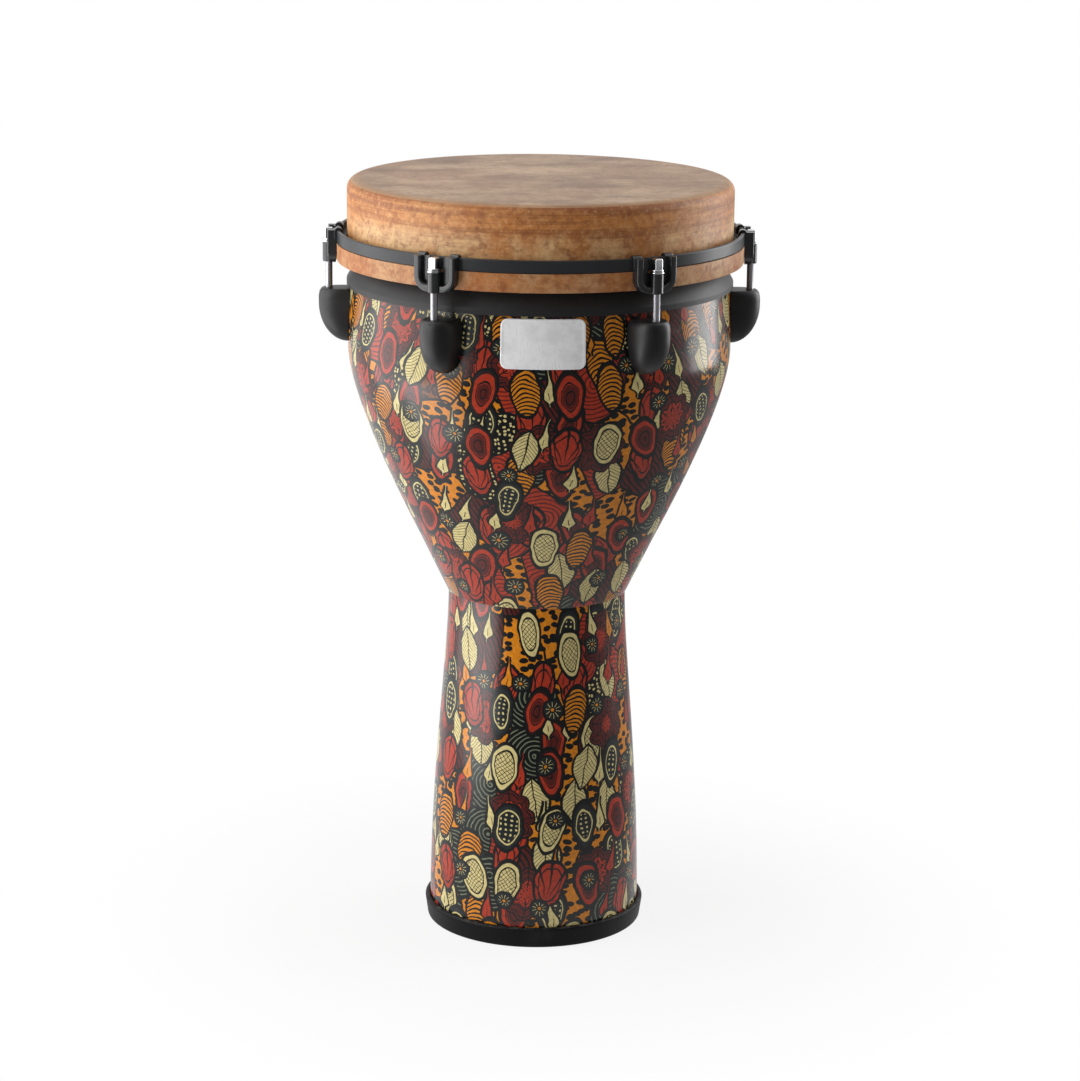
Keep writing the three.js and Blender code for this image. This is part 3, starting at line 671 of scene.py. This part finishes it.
def moulded(name, base, grain, gloss, dust, depth, specular=0.5):
    n = Finish(name, Specular_IOR_Level=specular)
    return n.coated(moulded_effect, depth, Base=ink(base), Grain=grain, Gloss=gloss, Dust=dust)


def metal(name, base, streaks, gloss, smudge, depth, metallic=1.0):
    n = Finish(name, Metallic=metallic)
    return n.coated(metal_effect, depth, Base=ink(base), Streaks=streaks, Gloss=gloss, Smudge=smudge)


def printed_covering(name):
    """The shells' laminated print, satin, over a slightly wavy wall."""
    n = Finish(name, Specular_IOR_Level=0.4)
    sheet = n.out(n.add("UVMap", uv_map="covering"))
    flat = n.out(n.add("VectorMath", {0: sheet, "Scale": 1 / MM}, operation="SCALE"))
    picture = n.placed(print_effect, Sheet=flat)
    place = n.place()
    haze = n.noise(place, 30.0, 3.0, 0.6)
    rough = haze * 0.14 + 0.16 + n.out(picture, "Line") * 0.04
    waves = n.noise(place, 26.0, 2.0) + n.noise(place, 1500.0, 1.0) * 0.02
    return n.dressed(n.out(picture, "Color"), rough, waves, 0.0006)


def skin_film(name, pale, tan, brown, clouds, bands, flecks, rim=None):
    """Film with a hide look. A rim colour takes over towards the edge of the playing surface."""
    n = Finish(name, IOR=1.45)
    shades = {"Pale": ink(pale), "Tan": ink(tan), "Brown": ink(brown)}
    x, y, height = n.split(n.place())
    upper = n.fade(height, (HOOP_TOP_Z + 4) * MM, (HEAD_TOP_Z - HEAD_CORNER) * MM)
    banded = upper * (0.7 * bands) + 0.3 * bands
    skin = n.placed(skin_effect, Clouds=clouds, Bands=banded, Flecks=flecks, **shades)
    grain = n.out(skin, "Height")
    # Painted shade: the film turns brown from the hoop's top downwards, most on the lap below the
    # counterhoop
    under_hoop_shade = n.fade(height, HOOP_TOP_Z * MM, HOOP_BOTTOM_Z * MM) * (0.35 * bands)
    colour = n.mix(under_hoop_shade, n.out(skin, "Color"), shades["Brown"])
    if rim:
        outward = n.length(x, y) + (grain - 0.4) * 0.02
        near_rim = n.fade(outward, (HEAD_RADIUS - 16) * MM, (HEAD_RADIUS - 1) * MM)
        colour = n.mix(near_rim * 0.6, colour, ink(rim))
    return n.dressed(colour, grain * 0.3 + 0.38, grain, 0.0004)


def shell_fibre(name):
    """Pressed fibre inside the shells, dark brown with short strands."""
    n = Finish(name)
    place = n.place()
    strands = n.noise(n.stretched(place, 260.0, 260.0, 900.0), 1.0, 4.0, 0.7)
    clouds = n.noise(place, 35.0, 3.0)
    colour = n.mix(n.fade(strands, 0.35, 0.7), ink("2A211B"), ink("4A3B2F"))
    colour = n.mix(n.fade(clouds, 0.4, 0.8) * 0.5, colour, ink("1B1613"))
    return n.dressed(colour, strands * 0.25 + 0.65, strands, 0.0003)


printed = printed_covering("printed covering")
fibre = shell_fibre("shell fibre")
film_top = skin_film("film, playing surface", "C4A688", "A07D5F", "694834", 0.95, 0.0, 0.35, "B08356")
film_side = skin_film("film, collar", "DDB480", "BD7838", "7A3F1D", 0.25, 1.0, 0.6)
film_under = skin_film("film, underside", "C9B79C", "B9A588", "9A8467", 0.5, 0.2, 0.3)
rubber = moulded("foot rubber", "09080A", 1400.0, 0.5, 0.3, 0.00006, 0.12)
black_plastic = moulded("black moulding", "181819", 1100.0, 0.44, 0.1, 0.00004, 0.4)
ring_plastic = moulded("edge ring moulding", "222223", 1100.0, 0.48, 0.1, 0.00004, 0.3)
powder_coat = moulded("black powder coat", "2B2C2E", 1700.0, 0.34, 0.1, 0.00005, 0.3)
claw_enamel = moulded("black claw enamel", "222325", 1700.0, 0.24, 0.1, 0.00004, 0.6)
hoop_fibre = moulded("hoop fibre", "7A5B3B", 700.0, 0.75, 0.1, 0.0001)
chrome = metal("chrome plate", "DCDDDF", (500, 500, 60), 0.16, 0.15, 0.000001)
rod_steel = metal("plated rod steel", "B2B1B6", (1500, 1500, 40), 0.40, 0.25, 0.000004)
zinc = metal("zinc plate", "A4A6AA", (500, 500, 500), 0.32, 0.3, 0.00001)
brass = metal("nut brass", "B89250", (900, 900, 60), 0.3, 0.3, 0.00001)
bare_plate = metal("bare silver plate", "F4F4F5", (1600, 1600, 30), 0.28, 0.2, 0.00001, 0.15)


# Shells

def bowl_sheet(angle, along):
    """The bowl's covering is cut as a fan, so its rows run round a far centre."""
    spread = 0.368
    reach = WAIST_RADIUS / spread + along
    return reach * math.sin(angle * spread) * MM, reach * math.cos(angle * spread) * MM


def stem_sheet(angle, along):
    """The stem's covering is cut as a straight strip of a middling width."""
    strip_start = -400
    return STEM_SHEET_RADIUS * angle * MM, (along + strip_start) * MM


def shell_piece(name, node, outside, inside, sides, sheet):
    """A shell, printed on the outside of its wall and fibre on the rest."""
    finish_of = lambda k: int(k >= len(outside) - 1)
    body = turned_body(outside + inside, sides, finish_of=finish_of, sheet=sheet)
    finished(name, body, "shell", [printed, fibre], node)


stem_lining = inward(stem_profile, SHELL_WALL)
stem_inside = [
    (SPIGOT_RADIUS, SHOULDER_Z),
    (SPIGOT_RADIUS, SPIGOT_TOP_Z),
    (SPIGOT_THROAT, SPIGOT_TOP_Z),
    (SPIGOT_THROAT, SHOULDER_Z - SPIGOT_TAPER / 2),
    *[(r, z) for r, z in reversed(stem_lining) if STEM_FOOT_Z < z < SHOULDER_Z - SPIGOT_TAPER],
    (STEM_FOOT_RADIUS - SHELL_WALL, STEM_FOOT_Z),
]
shell_piece("printed_stem", "stem_shell", stem_profile, stem_inside, 240, stem_sheet)

bowl_inside = inward(bowl_profile, SHELL_WALL)
bowl_lining = [(r, z) for r, z in reversed(bowl_inside) if BOWL_BASE_Z + 1 < z < BOWL_TOP_Z - 1]
bowl_rim = [(MOUTH_RADIUS - SHELL_WALL, BOWL_TOP_Z)]
bowl_neck = [(radius_at(bowl_inside, BOWL_BASE_Z), BOWL_BASE_Z)]
bowl_rest = bowl_rim + bowl_lining + bowl_neck
shell_piece("printed_bowl", "bowl_shell", bowl_profile, bowl_rest, 288, bowl_sheet)

foot_outline = [
    (FOOT_INNER, 0, 0.6),
    (FOOT_BASE, 0, 1.8),
    (FOOT_BULGE, FOOT_HEIGHT, 2.8),
    (FOOT_SEAT, FOOT_HEIGHT, 0.7),
    (FOOT_SEAT, FOOT_LEDGE),
    (FOOT_INNER, FOOT_LEDGE, 0.6),
]
foot = turned_body(softened(foot_outline, 6), 240)
finished("rubber_foot", foot, "shell", [rubber], "foot_ring")

crown = (RIM_RADIUS - RIM_INNER) / 2
ring_slope = softened([
    (RIM_LIP_RADIUS, RIM_LIP_Z, 0.4),
    (RIM_LIP_RADIUS, RIM_LIP_TOP_Z, 0.5),
    (RIM_RADIUS, RIM_WALL_Z, 4.0),
    (RIM_RADIUS, CROWN_Z),
])
ring_outline = [
    (RIM_INNER, RIM_FOOT_Z),
    (RIM_RADIUS, RIM_FOOT_Z),
    (RIM_RADIUS, RIM_LIP_Z),
    *ring_slope[:-1],
    *arc((RIM_INNER + crown, CROWN_Z - crown), crown, 0, 180, 10),
]
edge_ring = turned_body(ring_outline, 240)
finished("edge_ring", edge_ring, "shell", [ring_plastic], "bearing_edge_ring")


# Drumhead and counterhoop

corner = (HEAD_RADIUS - HEAD_CORNER, HEAD_TOP_Z - HEAD_CORNER)
under_lap = FLESH_BOTTOM_Z - SEAT_GAP - FILM
lap_turn, corner_steps = 1.6, 12
film_outline = [
    (0, HEAD_TOP_Z - FILM),
    *arc(corner, HEAD_CORNER - FILM, 90, 0, corner_steps),
    (HEAD_RADIUS - FILM, under_lap),
    (HOOP_RADIUS - lap_turn, under_lap),
    (HOOP_RADIUS - 0.5, under_lap + 0.5),
    (HOOP_RADIUS, under_lap + lap_turn),
    (HOOP_RADIUS, FLESH_TOP_Z),
    (HOOP_RADIUS - FILM, FLESH_TOP_Z),
    (HOOP_RADIUS - FILM, under_lap + lap_turn),
    (HOOP_RADIUS - FILM - 0.4, under_lap + FILM),
    (HEAD_RADIUS, under_lap + FILM),
    *arc(corner, HEAD_CORNER, 0, 90, corner_steps),
    (0, HEAD_TOP_Z),
]
top_from = len(film_outline) - 1 - corner_steps // 2
under_to = corner_steps + 1
film_finish = lambda k: 0 if k >= top_from else 2 if k < under_to else 1
head = turned_body(film_outline, 288, finish_of=film_finish)
finished("skin_head", head, "head", [film_top, film_side, film_under], "head_film")

flesh_outline = tube(FLESH_INNER, FLESH_OUTER, FLESH_BOTTOM_Z, FLESH_TOP_Z, 0.6, 0.6)
flesh = turned_body(softened(flesh_outline), 192)
finished("inner_hoop", flesh, "head", [hoop_fibre], "flesh_hoop")

flange_top = HOOP_BOTTOM_Z + HOOP_FLANGE
hoop_outline = [
    (HOOP_FLANGE_INNER, HOOP_BOTTOM_Z, 0.5),
    (HOOP_RADIUS, HOOP_BOTTOM_Z, 0.8),
    (HOOP_RADIUS, HOOP_TOP_Z, 1.2),
    (HOOP_RADIUS - HOOP_WALL, HOOP_TOP_Z, 1.2),
    (HOOP_RADIUS - HOOP_WALL, flange_top, 0.8),
    (HOOP_FLANGE_INNER, flange_top, 0.5),
]
counterhoop = turned_body(softened(hoop_outline), 288)
finished("steel_counterhoop", counterhoop, "head", [powder_coat], "counterhoop")


# Lug stations, each built on +X and turned to its place

on_rod = Matrix.Translation((ROD_CIRCLE * MM, 0, 0))


def claw_body():
    """Claw: a U-shaped raised rim, a plate with a notch, two hooks and a sleeve."""
    body = new_body()
    side_y = CLAW_HALF_WIDTH - CLAW_BAR / 2
    low_z = CLAW_BOTTOM_Z + CLAW_BAR / 2
    bend = CLAW_CORNER - CLAW_BAR / 2
    back = HOOP_RADIUS + SEAT_GAP
    out = Vector((1, 0, 0))
    straight = (HOOP_TOP_Z, 564, 560)
    section = softened([
        (-CLAW_BAR / 2, CLAW_RIM_BACK),
        (CLAW_BAR / 2, CLAW_RIM_BACK),
        (CLAW_BAR / 2, CLAW_RIM_FACE, 1.7),
        (-CLAW_BAR / 2, CLAW_RIM_FACE, 1.7),
    ], 5)
    # Each half of the rim ends in the sleeve's wall, so the rod's way is free
    for side in (-1, 1):
        path = [(Vector((0, side * side_y, z)), Vector((0, side, 0)), out) for z in straight]
        for i in range(9):
            angle = math.radians(90 * i / 8)
            away = Vector((0, side * math.cos(angle), -math.sin(angle)))
            path.append((Vector((0, side * (side_y - bend), low_z + bend)) + away * bend, away, out))
        path.append((Vector((0, side * CLAW_RIM_END, low_z)), Vector((0, 0, -1)), out))
        swept(body, path, section)
    for vertex in body.verts:
        if math.hypot(vertex.co.x, vertex.co.y) < back * MM:
            vertex.co.x = math.sqrt((back * MM) ** 2 - vertex.co.y ** 2)
    bottom, plate_side = CLAW_BOTTOM_Z + 0.6, side_y - 1
    right = [
        (CLAW_FOOT, bottom),
        (plate_side, CLAW_TAPER_Z),
        (plate_side, HOOP_TOP_Z),
        (CLAW_NOTCH, HOOP_TOP_Z),
        (CLAW_NOTCH, SLEEVE_TOP_Z),
    ]
    left = [(-y, z) for y, z in reversed(right)]
    faces = [[(x, y, z) for y, z in right + left] for x in (back + 0.05, back + CLAW_PLATE)]
    lofted(body, [ring_of(body, face) for face in faces])

    # A hook follows the hoop's top closely, and its leg ends inside the hoop
    inner = HOOP_WALL / 2 + SEAT_GAP
    middle = inner + CLAW_PLATE / 2
    spring = HOOP_TOP_Z + SEAT_GAP - inner
    across = Vector((0, 1, 0))
    hook = [(Vector((middle, 0, z)), across, out) for z in (spring - 5, spring - 2)]
    for i in range(13):
        angle = math.pi * i / 12
        away = Vector((math.cos(angle), 0, math.sin(angle)))
        hook.append((Vector((0, 0, spring)) + away * middle, across, away))
    hook.append((Vector((-middle, 0, spring - 4)), across, -out))
    hook_place = Matrix.Translation(Vector((HOOP_RADIUS - HOOP_WALL / 2, 0, 0)) * MM)
    for side in (-1, 1):
        turn = Matrix.Rotation(side * math.asin((CLAW_HALF_WIDTH - HOOK_WIDTH / 2) / HOOP_RADIUS), 4, "Z")
        swept(body, hook, rounded_box(HOOK_WIDTH, CLAW_PLATE, 0.6), turn @ hook_place)
    sleeve = tube(ROD_BORE, SLEEVE_RADIUS, CLAW_BOTTOM_Z, SLEEVE_TOP_Z, 0.4, 0.8)
    turned(body, softened(sleeve), 40, on_rod)
    return body


def casing_rows(inset):
    """Level rows of a casing from the top down, each from one side of the bowl round the front."""
    rounding_steps, foot_steps, sides = 8, 16, 28
    top = CASING_TOP_Z - inset
    shoulder = CASING_TOP_Z - CASING_SHOULDER
    foot = CASING_TOP_Z - CASING_HEIGHT + inset
    heights = []
    for i in range(rounding_steps + 1):
        angle = math.pi / 2 * i / rounding_steps
        heights.append((top - CASING_ROUND * (1 - math.cos(angle)), 1 - math.sin(angle)))
    for i in range(1, foot_steps + 1):
        angle = math.pi / 2 * i / foot_steps
        heights.append((shoulder - (shoulder - foot) * math.sin(angle) * 0.999, 0.0))
    rows = []
    for z, draw_share in heights:
        down = max(0.0, (shoulder - z) / (shoulder - foot))
        narrowed = (1 - down ** CASING_SQUARENESS) ** (1 / CASING_SQUARENESS)
        draw = CASING_INSET * draw_share
        depth = (CASING_REACH - inset - BELLY_RADIUS) * math.sqrt(max(0.0, 1 - down * down)) - draw
        width = (CASING_HALF_WIDTH - inset) * narrowed - draw
        row = []
        for i in range(sides + 1):
            angle = -math.pi / 2 + math.pi * i / sides
            squared = [abs(f(angle)) ** (2 / CASING_SQUARENESS) for f in (math.cos, math.sin)]
            row.append((BELLY_RADIUS + depth * squared[0], math.copysign(width * squared[1], angle), z))
        wall = radius_at(bowl_profile, z) + SEAT_GAP
        ends = [(math.sqrt(wall ** 2 - width ** 2), y, z) for y in (-width, width)]
        rows.append([ends[0], *row, ends[1]])
    return rows


def casing_body():
    """Hollow casing: outer and inner skins, a top with a hole for the rod, a barrel and two bosses."""
    body = new_body()
    back_steps = 8
    insets = (0.0, CASING_WALL)
    skins, tops, holes, edges = [], [], [], []
    for inset in insets:
        rows = casing_rows(inset)
        skin = []
        for row in rows:
            points = []
            for x, y, z in row:
                aside = max(1.0, ROD_WAY / math.hypot(x - ROD_CIRCLE, y)) if z > ROD_END_Z else 1.0
                points.append((ROD_CIRCLE + (x - ROD_CIRCLE) * aside, y * aside, z))
            skin.append(ring_of(body, points))
        lofted(body, skin, closed=False, capped=False)
        (x_right, y_right, z), (_, y_left, _) = rows[0][-1], rows[0][0]
        wall = math.hypot(x_right, y_right)
        across = [y_right + (y_left - y_right) * i / back_steps for i in range(1, back_steps)]
        skins.append(skin)
        tops.append(skin[0] + ring_of(body, [(math.sqrt(wall ** 2 - y * y), y, z) for y in across]))
    bearings = [math.atan2(v.co.y, v.co.x - ROD_CIRCLE * MM) for v in tops[0]]
    for top, inset in zip(tops, insets):
        level = CASING_TOP_Z - inset
        round_hole = [(ROD_HOLE * math.cos(a), ROD_HOLE * math.sin(a), level) for a in bearings]
        hole = ring_of(body, round_hole, on_rod)
        strip(body, top, hole)
        holes.append(hole)
    strip(body, *holes)
    for skin, top in zip(skins, tops):
        left, right = ([row[end] for row in skin] for end in (0, -1))
        edges.append(top[len(skin[0]) - 1:] + left + skin[-1][1:] + right[::-1][1:-1])
    strip(body, *edges)
    turned(body, tube(BARREL_INNER, BARREL_OUTER, BARREL_BOTTOM_Z, BARREL_TOP_Z), 24, on_rod)
    for z in SCREW_HEIGHTS.values():
        lying = Matrix.Translation((0, 0, z * MM)) @ Matrix.Rotation(math.pi / 2, 4, "Y")
        turned(body, tube(BOSS_INNER, BOSS_OUTER, BOSS_BACK, BOSS_FRONT), 20, lying)
    return body


def rod_body():
    """Tension rod: cut thread, plain shank, flange and chamfered square key head."""
    body = new_body()
    thread_from = ROD_END_Z + 1
    rise = THREAD_PITCH / 5
    steps = int((THREAD_TOP_Z - thread_from) / rise)
    shank = [(0, ROD_END_Z), (ROD_RADIUS - 0.7, ROD_END_Z), (ROD_RADIUS - 0.1, ROD_END_Z + 0.7)]
    shank += [(ROD_RADIUS, thread_from + rise * i) for i in range(steps + 1)]
    shank += [(ROD_RADIUS, FLANGE_Z - 0.5), (ROD_RADIUS + 0.3, FLANGE_Z)]
    base, top = FLANGE_Z + FLANGE_HEIGHT, FLANGE_Z + KEY_RISE
    edges = [(FLANGE_RADIUS, FLANGE_Z, 0.45), (FLANGE_RADIUS, base, 0.45)]
    flange = softened([(0, FLANGE_Z), *edges, (0, base)])

    def threaded(angle, r, z):
        if not thread_from < z < THREAD_TOP_Z - 0.5:
            return r
        phase = (z / THREAD_PITCH - angle / (2 * math.pi)) % 1.0
        return r - THREAD_DEPTH * abs(2 * phase - 1)

    turned(body, shank + flange[1:], 24, on_rod, lambda k: int(k >= len(shank) - 1), reshape=threaded)
    shank_faces = len(body.faces)
    chamfer = ((1.0, 0.0), (0.5, 0.45), (0.15, 1.2), (0.0, 2.2))
    levels = [(base - 0.4, KEY_SIZE)] + [(top - drop, KEY_SIZE - less) for drop, less in chamfer]
    rings = []
    for z, width in levels:
        rings.append(ring_of(body, [(a, b, z) for a, b in rounded_box(width, width, 0.8)], on_rod))
    lofted(body, rings)
    body.faces.ensure_lookup_table()
    for face in body.faces[shank_faces:]:
        face.material_index = 1
    return body


washer_outline = tube(ROD_BORE, WASHER_RADIUS, WASHER_BOTTOM_Z, WASHER_TOP_Z, 0.2, 0.3)
nut_outline = [
    (ROD_BORE, NUT_BOTTOM_Z, 0.4),
    (NUT_RADIUS, NUT_BOTTOM_Z, 0.5),
    (NUT_RADIUS, NUT_COLLAR_Z),
    (NUT_COLLAR, NUT_COLLAR_Z, 0.3),
    (NUT_COLLAR, NUT_TOP_Z, 0.3),
    (ROD_BORE, NUT_TOP_Z, 0.4),
]


def screw_body(z):
    """Pan-head screw with a cross recess, lying along the station from inside the bowl."""
    head_ends = (radius_at(bowl_inside, z + up) for up in (-SCREW_HEAD, SCREW_HEAD))
    seat = min(head_ends) * math.cos(math.pi / 36) - SEAT_GAP
    length = SCREW_TIP - seat
    head = [(0, 1.0), (0.5, 1.0), (1.0, 1.2), (1.7, 1.7), (2.4, 2.4), (3.2, 2.5), (4.3, 2.1), (5.1, 1.3)]
    outline = [(r, -rise) for r, rise in head] + [(SCREW_HEAD, 0), (SCREW_RADIUS, 0)]
    outline += [(SCREW_RADIUS, i) for i in range(1, int(length))]
    outline += [(SCREW_RADIUS - 0.4, length), (0, length)]

    def cross(angle, r, height):
        if not 0.4 < r < 3.0 or height > -0.9:
            return r
        return r * (1.0 - 0.35 * abs(math.sin(2 * angle)))

    lying = Matrix.Translation((seat * MM, 0, z * MM)) @ Matrix.Rotation(math.pi / 2, 4, "Y")
    return turned_body(outline, 32, lying, reshape=cross)


washer = turned_body(softened(washer_outline, 3), 36, on_rod)
nut = turned_body(softened(nut_outline, 3), 36, on_rod)
station_pieces = [
    ("hoop_claw_{}", claw_body(), "head", "black_steel", [claw_enamel], "claw_{}"),
    ("lug_housing_{}", casing_body(), "shell", "black_moulding", [black_plastic], "lug_casing_{}"),
    ("key_rod_{}", rod_body(), "rod_{}", "chrome", [rod_steel, chrome], "tension_rod_{}"),
    ("flange_washer_{}", washer, "head", "chrome", [chrome], "rod_washer_{}"),
    ("barrel_nut_{}", nut, "shell", "nut_brass", [brass], "swivel_nut_{}"),
]
station_pieces += [
    (f"shell_screw_{{}}_{end}", screw_body(z), "shell", "zinc_screw", [zinc], f"lug_screw_{{}}_{end}")
    for end, z in SCREW_HEIGHTS.items()
]
for lug in range(LUGS):
    for name, body, rides_on, slot, finishes, node in station_pieces:
        name, rides_on, node = (text.format(lug + 1) for text in (name, rides_on, node))
        finished(name, body, rides_on, finishes, node, lug)


# Bare plate on the bowl's front

def plate_body():
    """A thin curved plate with rounded corners and a rolled edge."""
    body = new_body()
    levels = [(0.0, 0.0), (0.0, 0.7), (0.25, 1.05), (0.7, 1.2), (1.3, 1.15), (1.9, 0.95), (2.6, 0.9)]
    levels += [(2.6 + 1.5 * i, 0.9) for i in range(1, 11)]
    long_steps = 12
    rings = []
    for inset, lift in levels:
        width, height = PLATE_HALF_WIDTH - inset, PLATE_HALF_HEIGHT - inset
        corner_turn = max(PLATE_CORNER - inset, 0.8)
        outline = []
        for corner_angle, sx, sy in ((0, 1, 1), (90, -1, 1), (180, -1, -1), (270, 1, -1)):
            reach = sx * (width - corner_turn)
            centre = (reach, sy * (height - corner_turn))
            outline += arc(centre, corner_turn, corner_angle, corner_angle + 90, 6)
            if sy * sx > 0:
                from_x, level = outline[-1]
                shares = [i / long_steps for i in range(1, long_steps)]
                outline += [(from_x + (-reach - from_x) * share, level) for share in shares]
        ring = []
        for u, v in outline:
            z = PLATE_MIDDLE_Z + v
            r = radius_at(bowl_profile, z) + PLATE_STAND + lift
            angle = u / (MOUTH_RADIUS + 1) - PLATE_TURN
            ring.append((r * math.sin(angle), -r * math.cos(angle), z))
        rings.append(ring_of(body, ring))
    lofted(body, rings, capped=False)
    half = len(rings[0]) // 2
    for ring in (rings[-1], rings[0]):
        strip(body, ring[:half], ring[half:][::-1], closed=False)
    return body


finished("silver_plate", plate_body(), "shell", [bare_plate], None)


# Floor, light and camera

def traced_rays(n):
    """Whether a ray is the camera's, whether it is a reflection, and whether it is either."""
    path = n.add("LightPath")
    camera, glossy = n.out(path, "Is Camera Ray"), n.out(path, "Is Glossy Ray")
    return camera, glossy, n.most(camera, glossy)


def mixed_into(target, n, share, first, second):
    """Mixes two shaders and wires them to an output."""
    mixed = n.add("MixShader", {0: share, 1: n.out(first), 2: n.out(second)})
    n.feed(target.inputs["Surface"], n.out(mixed))


def studio_floor(front, right_shade):
    """Pale floor, nearly as white as the room for the camera, that takes the drum's shadow.
    Reflections find it only as bright as front says before the drum, and dimmer by right_shade on
    its right."""
    size, level = 9.0, -0.0003
    mesh = bpy.data.meshes.new("floor")
    corners = [(x * size, y * size, level) for x, y in ((-1, -1), (1, -1), (1, 1), (-1, 1))]
    mesh.from_pydata(corners, [], [(0, 1, 2, 3)])
    floor = linked("floor", mesh)
    n = Finish("white floor", Roughness=0.9, Specular_IOR_Level=0.0)
    place = n.place()
    x, y, _ = n.split(place)
    n.feed(n.shader.inputs["Base Color"], n.mix(n.noise(place, 3.0), ink("C6C6C6"), ink("CCCCCC")))
    _, glossy_ray, traced = traced_rays(n)
    before = n.fade(y, -0.1, -0.5) * (1.0 - front)
    beside = n.fade(x, 0.05, 0.45) * right_shade
    white = n.add("Emission", {"Color": WHITE, "Strength": 1.0 - n.most(before, beside) * glossy_ray})
    share = traced * (n.fade(n.length(x, y), 0.10, 0.45) * 0.14 + 0.86)
    mixed_into(n.tree.nodes["Material Output"], n, share, n.shader, white)
    mesh.materials.append(n.material)


def studio_world(ambient, fill, front):
    """White all round for what the camera sees. Soft light is ambient, with some fill added from the
    front. Reflections find the room only as bright as front says before the drum and on its right."""
    world = bpy.data.worlds.new("studio")
    world.use_nodes = True
    bpy.context.scene.world = world
    n = Nodes(world.node_tree)
    world.node_tree.nodes.clear()
    camera_ray, _, traced = traced_rays(n)
    towards_right, towards_back, _ = n.split(n.out(n.add("TexCoord"), "Generated"))
    room = n.fade(towards_back - towards_right * 0.2, -0.85, -0.1) * (1.0 - front) + front
    room = room + (1.0 - room) * camera_ray
    soft_light = n.fade(towards_back, 0.3, -0.9) * fill + ambient
    soft = n.add("Background", {"Color": WHITE, "Strength": soft_light})
    white = n.add("Background", {"Color": WHITE, "Strength": room})
    mixed_into(n.add("OutputWorld"), n, traced, soft, white)


def softbox(name, place, aim, width, height, power):
    lamp = bpy.data.lights.new(name, "AREA")
    lamp.shape = "RECTANGLE"
    lamp.size, lamp.size_y = width, height
    lamp.energy = power
    holder = linked(name, lamp)
    holder.location = place
    holder.rotation_euler = (Vector(aim) - Vector(place)).to_track_quat("-Z", "Y").to_euler()
    holder.visible_camera = False


studio_floor(0.2, 0.65)
studio_world(0.15, 0.36, 0.12)
softbox("softbox_left", (-0.85, -0.05, 0.64), (0, 0, 0.64), 0.9, 1.26, 8.4)
softbox("softbox_key", (-1.34, -0.94, 0.86), (0, 0, 0.5), 0.6, 1.7, 9.6)
softbox("softbox_low", (-0.48, -0.22, 0.17), (-0.05, -0.12, 0.30), 0.34, 0.27, 0.85)
softbox("softbox_right", (1.72, 0.69, 0.9), (0, 0, 0.45), 1.1, 1.9, 32)
softbox("softbox_top", (-0.9, 0.2, 2.2), (0, 0, 0.5), 1.0, 1.0, 7)

camera_data = bpy.data.cameras.new("camera")
camera = linked("camera", camera_data)
bpy.context.scene.camera = camera
focal_pixels, frame_pixels, distance, height = 3296.0, 1081, 2581.0, 966.0
turn, pitch, roll, pan = 1.7, 14.13, 0.60, 0.049
camera_data.sensor_width = 36.0
camera_data.lens = camera_data.sensor_width * focal_pixels / frame_pixels
camera_data.clip_end = 50
round_drum = Matrix.Rotation(-math.radians(turn), 4, "Z")
camera.matrix_world = (
    round_drum
    @ Matrix.Translation((0, -distance * MM, height * MM))
    @ Matrix.Rotation(math.radians(-pan), 4, "Z")
    @ Matrix.Rotation(math.radians(90 - pitch), 4, "X")
    @ Matrix.Rotation(math.radians(roll), 4, "Z")
)
bpy.context.scene.view_settings.view_transform = "Standard"
